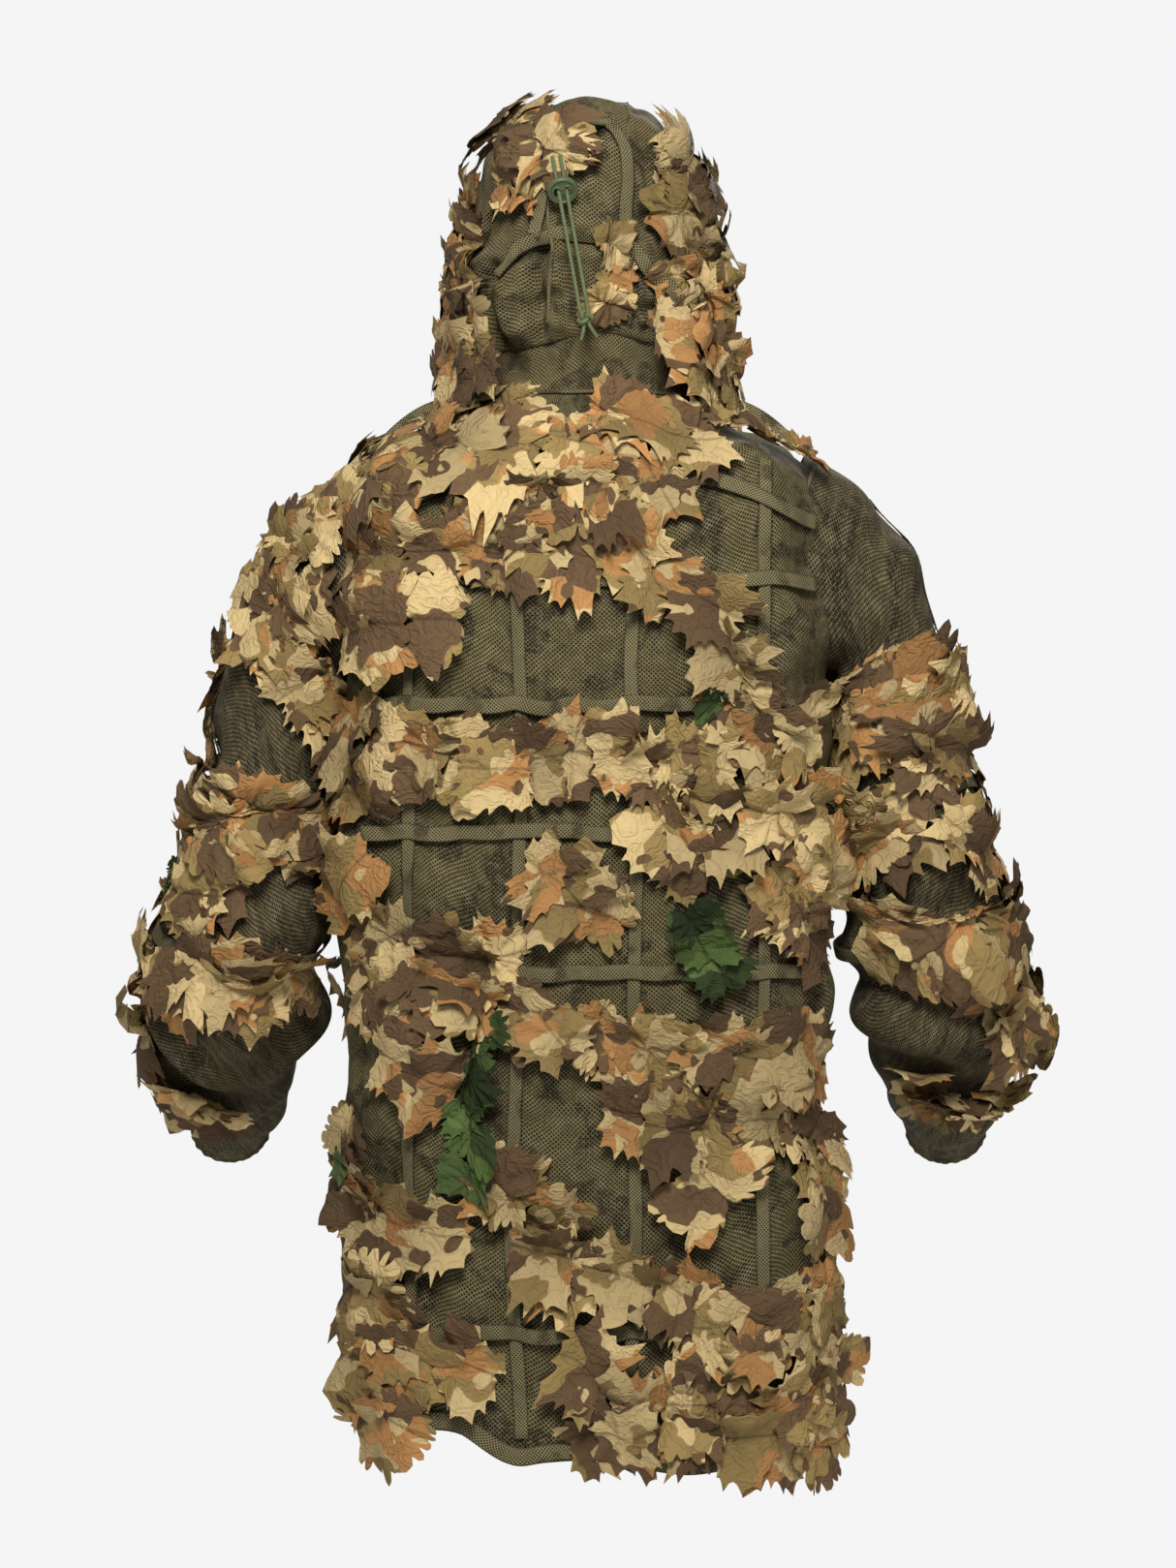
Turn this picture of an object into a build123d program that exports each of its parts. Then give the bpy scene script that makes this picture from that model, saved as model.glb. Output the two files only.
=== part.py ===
from build123d import *
import os
from math import cos, pi, radians, sin, sqrt, tan

# Hooded ghillie jacket, as worn: a thigh-length net jacket with set-in sleeves and a three-piece
# hood, a grid of net tapes sewn over it, and strips of cut cloth leaves threaded on the tapes.
# Millimetres. The wearer faces -Y, +Z is up, +X is the wearer's left, and the origin is the
# middle of the neckline, where the jacket rests on the wearer.

# ---------------------------------------------------------------- driving dimensions
BACK_LENGTH = 870  # neckline to hem
NET = 3.0  # thickness of the net panels, with their seam folds
SEAM = 0.8  # gap between neighbouring panels
TAPE_WIDTH = 16
# Layers over the net, as distances outwards from its inner face.
TAPE_LOW = (NET + 0.8, NET + 2.2)  # lengthways tapes
TAPE_HIGH = (NET + 3.0, NET + 4.4)  # cross tapes, which pass over them
LEAVES = (NET + 5.4, NET + 15)  # the space that the bunched leaves fill
GREEN = (NET + 15.8, NET + 21)  # green strips, on top of the brown ones

# Torso rings from the neckline down: height, half width, back of the ring, and how much of an
# outward offset goes upwards there (the shoulders slope, the sides are upright).
TORSO = (
    (0, 96, 84, 0.8),
    (-16, 112, 90, 0.9),
    (-40, 156, 98, 0.9),
    (-66, 197, 108, 0.7),
    (-110, 203, 122, 0.0),
    (-200, 202, 132, 0.0),
    (-440, 196, 128, 0.0),
    (-640, 199, 134, 0.0),
    (-BACK_LENGTH, 209, 146, 0.0),
)
FRONT_TOP = -112  # y of the front line at the neckline
FRONT_HEM = -140  # y of the front line at the hem
TORSO_CORNER = 95  # largest corner radius of a torso ring
HEM_HEIGHT = 14  # turned hem
NECK = (88, 90, -14)  # neck hole: half width, half depth, y of its middle
COLLAR_LOW, COLLAR_HIGH = 4.5, 44  # collar band's edges above the neckline
ARMHOLE = (90, 74, -150)  # half height, half depth, height of its middle

# Sleeve rings from the armhole to the wrist: centre, direction, half width, half depth.
SLEEVE = (
    ((204, 0, -150), (1, 0, 0), 80, 64),
    ((234, 0, -176), (0.92, 0, -0.38), 70, 67),
    ((252, 0, -219), (0.63, 0, -0.77), 54, 70),
    ((262, 0, -284), (0.20, 0, -0.98), 49, 72),
    ((275, 2, -375), (0.14, 0, -0.99), 58, 74),
    ((290, 6, -450), (0.12, -0.10, -0.98), 66, 76),
    ((303, -8, -512), (0.12, -0.52, -0.84), 70, 72),
    ((312, -62, -556), (0.10, -0.80, -0.60), 64, 60),
    ((320, -125, -590), (0.08, -0.85, -0.52), 52, 48),
    ((325, -176, -620), (0.06, -0.82, -0.57), 42, 40),
)
CUFF_GAP = 2  # sleeve's end to cuff
CUFF_LENGTH = 46
ELASTIC = (12, 30, 0.5, 2.2)  # start and end along the cuff, then its depth inside the cuff's wall
ARM_CLEAR = 226  # sleeve tapes and leaves start outside this x, clear of the torso
SLEEVE_TAPES = ((-330, -314), (-436, -420))  # top and bottom of the tapes round a sleeve

# Hood rings from the neck seam up: height, half width, half depth, y of the middle, and how much
# of an outward offset goes upwards there.
HOOD = (
    (48, 102, 94, 0, 0.0),
    (85, 112, 110, -6, 0.0),
    (120, 106, 116, -8, 0.0),
    (160, 96, 114, -8, 0.1),
    (200, 84, 102, -6, 0.3),
    (228, 64, 80, -4, 0.7),
    (246, 36, 46, 0, 0.9),
    (252, 12, 16, 0, 0.98),
)
HOOD_CENTRE = 38  # half width of the centre panel
FACE = (64, 80, 140)  # face opening: half width, half height, height of its middle
FACE_BINDING = 9
HOOD_TAPE_X = (46, 62)  # lengthways hood tapes, each side
HOOD_TAPE_Z = (100, 116)  # cross tape at the back of the hood

# Hood cord: two strands from the eyelet plate down through the toggle to the knot.
CORD_RADIUS = 1.6
CORD_HALF_GAP = 3.2
CORD_TOP = Vector(26, 122, 184)
CORD_FOOT = Vector(3, 120, 56)
EYELET_PLATE = (24, 14, 3, 107)  # width, height, thickness, y of its outer face
KNOT = (13, 12, 5)  # width, height, tail length
TOGGLE_DOWN = 30  # rest place of the toggle, from the top of the cord
TOGGLE = (25, 24, 4)  # width, height, thickness
TOGGLE_TILT = 42  # the toggle's disc leans out at its top, so that the strands cross it
TOGGLE_BORE = 2.0

# Zip, laid out from its top end down the straight front line.
ZIP_TOP = 14  # top end of the zip below the neckline
ZIP_BOTTOM = 30  # bottom end above the hem
ZIP_GAP = 8  # half gap between the two fronts
COIL = (0.6, 2.8, -1.8, 0.6)  # coil bar: inner and outer x, back and front
ZIP_TAPE = (3.1, 17, -1.5, -0.4)  # zip tape: inner and outer x, back and front
SLIDER_DOWN = 24  # rest place of the slider's middle, from the zip's top end
SLIDER = (11, 16, 1.4)  # width, height, plate thickness
SLIDER_FIT = 0.3  # clearance between the slider and the coils
PULL = (7, 30, 1.6)  # width, length, thickness
PIN_RADIUS = 0.9
EYE_RADIUS = 1.0

CROSS_TAPES = (-160, -262, -366, -480, -768)  # middles of the back's cross tapes
LENGTH_TAPES_BACK = (-142, -36, 56, 144)
LENGTH_TAPES_FRONT = (58, 142)
CROSS_TAPES_FRONT = (-290, -560)
TORSO_CLEAR = 185  # tapes and leaves stay inside this x where the sleeves hang beside the torso
SLEEVE_END = -604  # below this the torso has nothing beside it
# Rows of leaves: top and bottom of each.
BACK_ROWS = ((-22, -100), (-118, -228), (-284, -356), (-376, -466), (-494, -590), (-606, -690), (-700, -866))
FRONT_ROWS = (((-70, -140), (-200, -290)), ((-400, -500), (-640, -760)))  # two rows a strip
ARM_ROWS = ((-130, -300), (-320, -450), (-470, -600))
GREEN_PATCHES = ((-122, -58, -504, -412), (62, 118, -672, -512))  # low x, high x, low z, high z
FAR = 1200  # larger than the jacket

os.makedirs("parts", exist_ok=True)


def save(name, part):
    """Write one labelled node as a STEP file."""
    part.label = name
    export_step(part, f"parts/{name}.step")


def save_pair(name, part):
    """Write a left node and its mirror image, the right one."""
    save(name.replace("SIDE", "left"), part)
    with BuildPart() as right:
        add(mirror(part, about=Plane.YZ, mode=Mode.PRIVATE))
    save(name.replace("SIDE", "right"), right.part)


def keep_box(low, high):
    """Inside a BuildPart block: keep only what lies in the box."""
    with Locations(tuple((a + b) / 2 for a, b in zip(low, high))):
        Box(*[b - a for a, b in zip(low, high)], mode=Mode.INTERSECT)


def cut_box(low, high):
    """Inside a BuildPart block: cut the box away."""
    with Locations(tuple((a + b) / 2 for a, b in zip(low, high))):
        Box(*[b - a for a, b in zip(low, high)], mode=Mode.SUBTRACT)


def piece_of(layer, low, high):
    """What a layer has inside a box."""
    with BuildPart(mode=Mode.PRIVATE) as piece:
        add(layer)
        keep_box(low, high)
    return piece.part


def between(block, inner, outer):
    """The layer between two offsets of a filled form."""
    with BuildPart(mode=Mode.PRIVATE) as layer:
        add(block(outer))
        add(block(inner), mode=Mode.SUBTRACT)
    return layer.part


# ---------------------------------------------------------------- filled forms
def front_line(height):
    """y of the straight front line at a height."""
    return FRONT_TOP + (FRONT_HEM - FRONT_TOP) * height / -BACK_LENGTH


def torso_block(grow):
    """The torso as a filled form, grown outwards."""
    with BuildPart(mode=Mode.PRIVATE) as block:
        for height, half_width, back, rise in TORSO:
            out = grow * sqrt(1 - rise * rise)
            front = front_line(height) - out
            half_depth = (back + out - front) / 2
            with BuildSketch(Plane((0, front + half_depth, height + rise * grow))):
                corner = min(TORSO_CORNER + out, half_depth - 3)
                RectangleRounded(2 * (half_width + out), 2 * half_depth, corner)
        loft(ruled=True)
    return block.part


def hood_block(grow):
    """The hood as a filled form, grown outwards."""
    with BuildPart(mode=Mode.PRIVATE) as block:
        for height, half_width, half_depth, middle, rise in HOOD:
            out = grow * sqrt(1 - rise * rise)
            with BuildSketch(Plane((0, middle, height + rise * grow))):
                Ellipse(half_width + out, half_depth + out)
        loft(ruled=True)
    return block.part


def ring_plane(centre, direction):
    """Plane of a ring of the left sleeve, its x axis upwards at the armhole and outwards down the arm."""
    return Plane(centre, x_dir=Vector(direction).cross(Vector(0, 1, 0)), z_dir=direction)


def sleeve_block(grow):
    """The left sleeve as a filled form, grown outwards."""
    with BuildPart(mode=Mode.PRIVATE) as block:
        for centre, direction, half_width, half_depth in reversed(SLEEVE):
            with BuildSketch(ring_plane(centre, direction)):
                Ellipse(half_width + grow, half_depth + grow)
        loft(ruled=True)
    return block.part


# ---------------------------------------------------------------- torso
def make_panels():
    """The back and the two fronts, which meet at the side seams, and the turned hem."""
    with BuildPart(mode=Mode.PRIVATE) as net:
        add(between(torso_block, 0, NET))
        with BuildSketch(Plane((0, NECK[2], 0))):
            Ellipse(NECK[0], NECK[1])
        extrude(amount=60, both=True, mode=Mode.SUBTRACT)
        for side in (-1, 1):
            with BuildSketch(Plane((side * 150, 0, ARMHOLE[2]), x_dir=(0, 1, 0), z_dir=(side, 0, 0))):
                Ellipse(ARMHOLE[1], ARMHOLE[0])
            extrude(amount=150, mode=Mode.SUBTRACT)
    above_hem = HEM_HEIGHT + SEAM - BACK_LENGTH
    save("back_panel", piece_of(net.part, (-FAR, SEAM / 2, above_hem), (FAR, FAR, FAR)))
    save("front_panel_left", piece_of(net.part, (ZIP_GAP, -FAR, above_hem), (FAR, -SEAM / 2, FAR)))
    save("front_panel_right", piece_of(net.part, (-FAR, -FAR, above_hem), (-ZIP_GAP, -SEAM / 2, FAR)))
    with BuildPart() as hem_binding:
        add(between(torso_block, -1.2, NET + 1))
        keep_box((-FAR, -FAR, -FAR), (FAR, FAR, HEM_HEIGHT - BACK_LENGTH))
        cut_box((-ZIP_GAP, -FAR, -FAR), (ZIP_GAP, 0, FAR))
    save("hem_binding", hem_binding.part)


def make_collar():
    """Smooth neck panel below the hood, open at the zip, and the hanging loop inside it."""
    with BuildPart() as collar_band:
        with BuildSketch(Plane((0, NECK[2], COLLAR_LOW))):
            Ellipse(NECK[0] + NET, NECK[1] + NET)
            Ellipse(NECK[0], NECK[1], mode=Mode.SUBTRACT)
        extrude(amount=COLLAR_HIGH - COLLAR_LOW)
        cut_box((-ZIP_GAP, -FAR, -FAR), (ZIP_GAP, NECK[2], FAR))
    save("collar_band", collar_band.part)
    half_length, stand, tape = 24, 12, 1.4
    wall = NECK[2] + NECK[1] - 5.5
    with BuildPart() as hang_loop:
        with BuildSketch(Plane((0, wall, 20))):
            with BuildLine():
                Polyline((-half_length, 0), (-half_length + 7, -stand), (half_length - 7, -stand),
                         (half_length, 0))
                offset(amount=tape / 2)
            make_face()
        extrude(amount=9)
    save("hang_loop", hang_loop.part)


def make_torso_tapes():
    """Lengthways tapes under, cross tapes over: the grid that the leaf strips are threaded on."""
    low_layer = between(torso_block, *TAPE_LOW)
    high_layer = between(torso_block, *TAPE_HIGH)
    above_hem = HEM_HEIGHT + 3 - BACK_LENGTH
    half = TAPE_WIDTH / 2
    with BuildPart() as back_length_tapes:
        for x in LENGTH_TAPES_BACK:
            add(piece_of(low_layer, (x - half, 30, above_hem), (x + half, FAR, -52)))
    save("back_length_tapes", back_length_tapes.part)
    for number, z in enumerate(CROSS_TAPES, 1):
        reach = FAR if z < SLEEVE_END else TORSO_CLEAR
        tape = piece_of(high_layer, (-reach, 30, z - half), (reach, FAR, z + half))
        save(f"back_cross_tape_{number}", tape)
    for name, side in (("front_tapes_left", 1), ("front_tapes_right", -1)):
        with BuildPart() as front_tapes:
            for x in LENGTH_TAPES_FRONT:
                add(piece_of(low_layer, (side * x - half, -FAR, above_hem), (side * x + half, -30, -60)))
            inner, outer = sorted((side * 30, side * TORSO_CLEAR))
            for z in CROSS_TAPES_FRONT:
                add(piece_of(high_layer, (inner, -FAR, z - half), (outer, -30, z + half)))
        save(name, front_tapes.part)


def make_shoulder_loops():
    """A slack tape that stands up over each shoulder, tacked at both ends."""
    for name, side in (("shoulder_loop_left", 1), ("shoulder_loop_right", -1)):
        with BuildPart() as loop:
            with BuildSketch(Plane((0, TAPE_WIDTH / 2, 0), x_dir=(1, 0, 0), z_dir=(0, -1, 0))):
                with BuildLine():
                    ThreePointArc((side * 106, 0), (side * 152, -14), (side * 186, -48))
                    offset(amount=0.8)
                make_face()
            extrude(amount=TAPE_WIDTH)
        save(name, loop.part)


def make_torso_leaves():
    """Strips of bunched leaves across the back, on the fronts, and the green ones over them."""
    leaf_layer = between(torso_block, *LEAVES)
    for number, (top, bottom) in enumerate(BACK_ROWS, 1):
        reach, start = (FAR, -20) if top < SLEEVE_END else (TORSO_CLEAR, 30)
        strip = piece_of(leaf_layer, (-reach, start, bottom), (reach, FAR, top))
        save(f"leaf_strip_back_{number}", strip)
    for word, side in (("left", 1), ("right", -1)):
        inner, outer = sorted((side * 34, side * 170))
        for number, rows in enumerate(FRONT_ROWS, 1):
            with BuildPart() as strip:
                for top, bottom in rows:
                    add(piece_of(leaf_layer, (inner, -FAR, bottom), (outer, -60, top)))
            save(f"leaf_strip_front_{word}_{number}", strip.part)
    green_layer = between(torso_block, *GREEN)
    with BuildPart() as green_leaf_strips:
        for low_x, high_x, low_z, high_z in GREEN_PATCHES:
            add(piece_of(green_layer, (low_x, 30, low_z), (high_x, FAR, high_z)))
    save("green_leaf_strips", green_leaf_strips.part)


# ---------------------------------------------------------------- zip
def zip_plane(down):
    """Plane on the front line, a distance below the neckline: y up the line, z outwards."""
    slope = (FRONT_HEM - FRONT_TOP) / BACK_LENGTH
    length = sqrt(1 + slope * slope)
    origin = (0, FRONT_TOP + slope * down / length, -down / length)
    return Plane(origin, x_dir=(1, 0, 0), z_dir=(0, -1 / length, -slope / length))


def zip_bar(across, back, front, start, end):
    """Inside a BuildPart block: a bar along the zip, from start to end below the neckline."""
    with BuildSketch(zip_plane((start + end) / 2).offset(back)) as profile:
        with Locations(((across[0] + across[1]) / 2, 0)):
            Rectangle(across[1] - across[0], end - start)
    extrude(profile.sketch, amount=front - back)


def make_zip():
    """Two tapes, a coil on each, the end stops, the slider and its pull."""
    top, bottom = ZIP_TOP, BACK_LENGTH - ZIP_BOTTOM
    with BuildPart() as zip_tape_left:
        zip_bar(ZIP_TAPE[:2], *ZIP_TAPE[2:], top - 2, bottom + 10)
    save("zip_tape_left", zip_tape_left.part)
    with BuildPart() as zip_tape_right:
        zip_bar((-ZIP_TAPE[1], -ZIP_TAPE[0]), *ZIP_TAPE[2:], top - 2, bottom + 10)
    save("zip_tape_right", zip_tape_right.part)
    with BuildPart() as zip_coils:
        for side in (-1, 1):
            zip_bar(sorted((side * COIL[0], side * COIL[1])), *COIL[2:], top, bottom)
    save("zip_coils", zip_coils.part)
    with BuildPart() as zip_stops:
        for side in (-1, 1):
            zip_bar(sorted((side * 0.8, side * 3.0)), 0.7, 2.4, top, top + 4)
        zip_bar((-3, 3), COIL[2], 2.4, bottom + 0.4, bottom + 5)
    save("zip_stops", zip_stops.part)
    make_slider()


def make_slider():
    """Slider: plates before and behind the coils joined by a web, and ears that hold the pull's pin."""
    width, height, plate = SLIDER
    middle = ZIP_TOP + SLIDER_DOWN
    start, end = middle - height / 2, middle + height / 2
    front = COIL[3] + SLIDER_FIT
    back = COIL[2] - SLIDER_FIT
    pin_out = front + plate + 2.4
    with BuildPart() as zip_slider:
        zip_bar((-width / 2, width / 2), front, front + plate, start, end)
        zip_bar((-width / 2, width / 2), back - plate, back, start, end)
        corners = zip_slider.edges().filter_by(Axis(zip_plane(middle).origin, zip_plane(middle).z_dir))
        fillet(corners, 3)
        zip_bar((-0.3, 0.3), back, front, start + 1, start + 6)
        for x in (-2.9, 1.7):
            zip_bar((x, x + 1.2), front + plate - 0.2, pin_out + 1.4, middle - 2, middle + 2)
        pin_plane = zip_plane(middle)
        pin_origin = pin_plane.origin + pin_plane.z_dir * pin_out
        with BuildSketch(Plane(pin_origin, x_dir=(0, 1, 0), z_dir=(1, 0, 0))):
            Circle(PIN_RADIUS)
        extrude(amount=2.3, both=True)
    save("zip_slider", zip_slider.part)
    print("zip pull pivot", pin_origin)
    with BuildPart() as zip_pull:
        with BuildSketch(Plane(pin_origin, x_dir=(0, 0, 1), z_dir=(1, 0, 0))):
            Circle(EYE_RADIUS + 1.0)
            Circle(EYE_RADIUS, mode=Mode.SUBTRACT)
        extrude(amount=1.4, both=True)
        stem = 9
        blade = pin_plane.offset(pin_out - PULL[2] / 2)
        with BuildSketch(blade):
            with Locations((0, -EYE_RADIUS - 0.5)):
                Rectangle(2.6, stem + 2, align=(Align.CENTER, Align.MAX))
            with Locations((0, -EYE_RADIUS - 0.5 - stem)):
                RectangleRounded(PULL[0], PULL[1] - stem, 2.5, align=(Align.CENTER, Align.MAX))
            with Locations((0, -PULL[1] + 2.5)):
                Circle(1.4, mode=Mode.SUBTRACT)
        extrude(amount=PULL[2])
    save("zip_pull", zip_pull.part)


# ---------------------------------------------------------------- sleeves
def make_sleeves():
    """Sleeve, cuff, elastic, tapes and leaf strips of the left arm, and their mirror images."""
    save_pair("sleeve_SIDE", between(sleeve_block, 0, NET))

    centre, direction, half_width, half_depth = SLEEVE[-1]
    wrist = ring_plane(centre, direction)
    with BuildPart() as cuff:
        with BuildSketch(wrist.offset(CUFF_GAP)):
            Ellipse(half_width, half_depth)
            Ellipse(half_width - NET, half_depth - NET, mode=Mode.SUBTRACT)
        extrude(amount=CUFF_LENGTH)
    save_pair("cuff_SIDE", cuff.part)
    start, end, near, deep = ELASTIC
    with BuildPart() as cuff_elastic:
        with BuildSketch(wrist.offset(CUFF_GAP + start)):
            Ellipse(half_width - NET - near, half_depth - NET - near)
            Ellipse(half_width - NET - deep, half_depth - NET - deep, mode=Mode.SUBTRACT)
        extrude(amount=end - start)
    save_pair("cuff_elastic_SIDE", cuff_elastic.part)

    tape_layer = between(sleeve_block, *TAPE_LOW)
    half = TAPE_WIDTH / 2
    with BuildPart() as sleeve_tapes:
        add(piece_of(tape_layer, (ARM_CLEAR, -half, -450), (FAR, half, -120)))
        for low, high in SLEEVE_TAPES:
            add(piece_of(tape_layer, (-FAR, -FAR, low), (FAR, FAR, high)))
    save_pair("sleeve_tapes_SIDE", sleeve_tapes.part)

    leaf_layer = between(sleeve_block, *LEAVES)
    for number, (top, bottom) in enumerate(ARM_ROWS, 1):
        strip = piece_of(leaf_layer, (ARM_CLEAR, -FAR, bottom), (FAR, FAR, top))
        save_pair(f"leaf_strip_arm_SIDE_{number}", strip)


# ---------------------------------------------------------------- hood
def make_hood():
    """Three-piece hood, the binding round its face opening, its tapes and its leaf strips."""
    half_width, half_height, height = FACE
    face_plane = Plane((0, -50, height), x_dir=(1, 0, 0), z_dir=(0, -1, 0))
    with BuildPart(mode=Mode.PRIVATE) as net:
        add(between(hood_block, 0, NET))
        with BuildSketch(face_plane):
            Ellipse(half_width + FACE_BINDING + SEAM, half_height + FACE_BINDING + SEAM)
        extrude(amount=FAR, mode=Mode.SUBTRACT)
        cut_box((-ZIP_GAP, -FAR, 0), (ZIP_GAP, 0, height - half_height))
    low, high = (-FAR, -FAR, 0), (FAR, FAR, FAR)
    edge = HOOD_CENTRE - SEAM / 2
    centre = piece_of(net.part, (-edge, low[1], height), (edge, high[1], high[2]))
    back_centre = piece_of(net.part, (-edge, 0, low[2]), (edge, high[1], height))
    with BuildPart() as hood_centre_panel:
        add(centre)
        add(back_centre)
    save("hood_centre_panel", hood_centre_panel.part)
    for name, side in (("hood_left_panel", 1), ("hood_right_panel", -1)):
        near, far = sorted((side * (HOOD_CENTRE + SEAM / 2), side * FAR))
        chin_near, chin_far = sorted((side * ZIP_GAP, side * (HOOD_CENTRE + SEAM)))
        with BuildPart() as panel:
            add(piece_of(net.part, (near, low[1], low[2]), (far, high[1], high[2])))
            add(piece_of(net.part, (chin_near, low[1], low[2]), (chin_far, -30, height - 20)))
        save(name, panel.part)
    with BuildPart() as hood_face_binding:
        add(between(hood_block, -1.2, NET + 1))
        with BuildSketch(face_plane):
            Ellipse(half_width + FACE_BINDING, half_height + FACE_BINDING)
            Ellipse(half_width, half_height, mode=Mode.SUBTRACT)
        extrude(amount=FAR, mode=Mode.INTERSECT)
        cut_box((-ZIP_GAP, -FAR, 0), (ZIP_GAP, 0, height))
    save("hood_face_binding", hood_face_binding.part)

    tape_layer = between(hood_block, *TAPE_LOW)
    with BuildPart() as hood_tapes:
        for side in (-1, 1):
            near, far = sorted((side * HOOD_TAPE_X[0], side * HOOD_TAPE_X[1]))
            add(piece_of(tape_layer, (near, -20, 62), (far, FAR, FAR)))
        add(piece_of(tape_layer, (-FAR, 10, HOOD_TAPE_Z[0]), (FAR, FAR, HOOD_TAPE_Z[1])))
    save("hood_tapes", hood_tapes.part)

    leaf_layer = between(hood_block, *LEAVES)
    save("leaf_strip_hood_left", piece_of(leaf_layer, (48, -40, 62), (FAR, FAR, 214)))
    save("leaf_strip_hood_right", piece_of(leaf_layer, (-FAR, -40, 62), (-44, FAR, 214)))
    with BuildPart() as leaf_strip_hood_crown:
        add(piece_of(leaf_layer, (-52, -30, 222), (52, FAR, FAR)))
        add(piece_of(leaf_layer, (-38, 30, 62), (-8, FAR, 150)))
    save("leaf_strip_hood_crown", leaf_strip_hood_crown.part)


# ---------------------------------------------------------------- hood cord
CORD_DOWN = (CORD_FOOT - CORD_TOP).normalized()
CORD_OUT = (Vector(0, 1, 0) - CORD_DOWN * CORD_DOWN.Y).normalized()
CORD_SIDE = CORD_DOWN.cross(CORD_OUT)


def make_hood_cord():
    """The two strands, the plate they come out of, the knot at their end and the toggle on them."""
    width, height, thickness, face = EYELET_PLATE
    with BuildPart() as cord_eyelet_plate:
        with BuildSketch(Plane((CORD_TOP.X, face - thickness, CORD_TOP.Z), x_dir=(1, 0, 0), z_dir=(0, 1, 0))):
            SlotOverall(width, height)
        extrude(amount=thickness)
        fillet(cord_eyelet_plate.faces().sort_by(Axis.Y)[-1].edges(), 0.8)
    save("cord_eyelet_plate", cord_eyelet_plate.part)

    exit_run = CORD_TOP.Y - face
    turn = CORD_DOWN.get_angle(Vector(0, 1, 0))
    bend = 0.45 * exit_run / tan(radians(turn / 2))
    with BuildPart() as hood_cord:
        for side in (-1, 1):
            shift = CORD_SIDE * (side * CORD_HALF_GAP)
            corner = CORD_TOP + shift
            start = Vector(corner.X, face, corner.Z)
            with BuildLine(mode=Mode.PRIVATE) as route:
                FilletPolyline(start, corner, CORD_FOOT + shift, radius=[bend])
            with BuildSketch(Plane(start, z_dir=(0, 1, 0)), mode=Mode.PRIVATE) as section:
                Circle(CORD_RADIUS)
            sweep(section.sketch, path=route.line)
    save("hood_cord", hood_cord.part)
    length = route.wires()[0].length
    print("strand length", length, "bend radius", bend)
    print("strand volume", hood_cord.part.volume / 2, "section x length", pi * CORD_RADIUS**2 * length)

    width, height, tail = KNOT
    with BuildPart() as cord_knot:
        with BuildSketch(Plane(CORD_FOOT, x_dir=CORD_SIDE, z_dir=CORD_DOWN)):
            Ellipse(width / 2, width / 2 - 1.5)
        extrude(amount=height)
        fillet(cord_knot.edges(), 1.2)
        for side in (-1, 1):
            foot = CORD_FOOT + CORD_DOWN * (height - 0.5) + CORD_SIDE * (side * 2.6)
            with BuildSketch(Plane(foot, x_dir=CORD_SIDE, z_dir=CORD_DOWN + CORD_SIDE * (side * 0.35))):
                Circle(CORD_RADIUS)
            extrude(amount=tail + 6)
    save("cord_knot", cord_knot.part)

    width, height, thickness = TOGGLE
    middle = CORD_TOP + CORD_DOWN * TOGGLE_DOWN
    lean = radians(TOGGLE_TILT)
    normal = CORD_OUT * cos(lean) + CORD_DOWN * sin(lean)
    with BuildPart() as cord_toggle:
        with BuildSketch(Plane(middle - normal * (thickness / 2), x_dir=CORD_SIDE, z_dir=normal)):
            Ellipse(width / 2, height / 2)
        extrude(amount=thickness)
        fillet(cord_toggle.edges(), 1.2)
        for side in (-1, 1):
            start = middle + CORD_SIDE * (side * CORD_HALF_GAP) - CORD_DOWN * height
            with BuildSketch(Plane(start, x_dir=CORD_SIDE, z_dir=CORD_DOWN)):
                Circle(TOGGLE_BORE)
            extrude(amount=2 * height, mode=Mode.SUBTRACT)
    save("cord_toggle", cord_toggle.part)


make_panels()
make_collar()
make_torso_tapes()
make_shoulder_loops()
make_torso_leaves()
make_zip()
make_sleeves()
make_hood()
make_hood_cord()
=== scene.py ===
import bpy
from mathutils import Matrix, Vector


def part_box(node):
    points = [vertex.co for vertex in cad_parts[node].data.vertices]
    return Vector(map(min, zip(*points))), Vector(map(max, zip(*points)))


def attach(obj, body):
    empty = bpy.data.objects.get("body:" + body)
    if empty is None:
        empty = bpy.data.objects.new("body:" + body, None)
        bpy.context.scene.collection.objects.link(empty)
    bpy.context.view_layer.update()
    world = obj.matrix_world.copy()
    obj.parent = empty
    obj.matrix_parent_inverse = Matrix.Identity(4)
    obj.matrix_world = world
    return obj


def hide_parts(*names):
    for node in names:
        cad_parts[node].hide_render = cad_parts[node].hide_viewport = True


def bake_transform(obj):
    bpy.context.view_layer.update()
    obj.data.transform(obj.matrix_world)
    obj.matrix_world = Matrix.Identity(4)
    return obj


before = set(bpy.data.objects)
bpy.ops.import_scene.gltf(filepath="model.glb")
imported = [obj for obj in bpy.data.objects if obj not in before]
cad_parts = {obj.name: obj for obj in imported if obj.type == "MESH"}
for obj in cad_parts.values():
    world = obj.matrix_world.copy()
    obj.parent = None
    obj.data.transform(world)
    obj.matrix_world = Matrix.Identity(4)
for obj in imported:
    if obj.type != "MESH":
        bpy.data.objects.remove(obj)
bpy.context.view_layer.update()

import random
from math import atan2, cos, pi, radians, sin

import bpy
import numpy as np
from mathutils import Vector
from mathutils.bvhtree import BVHTree

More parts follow.
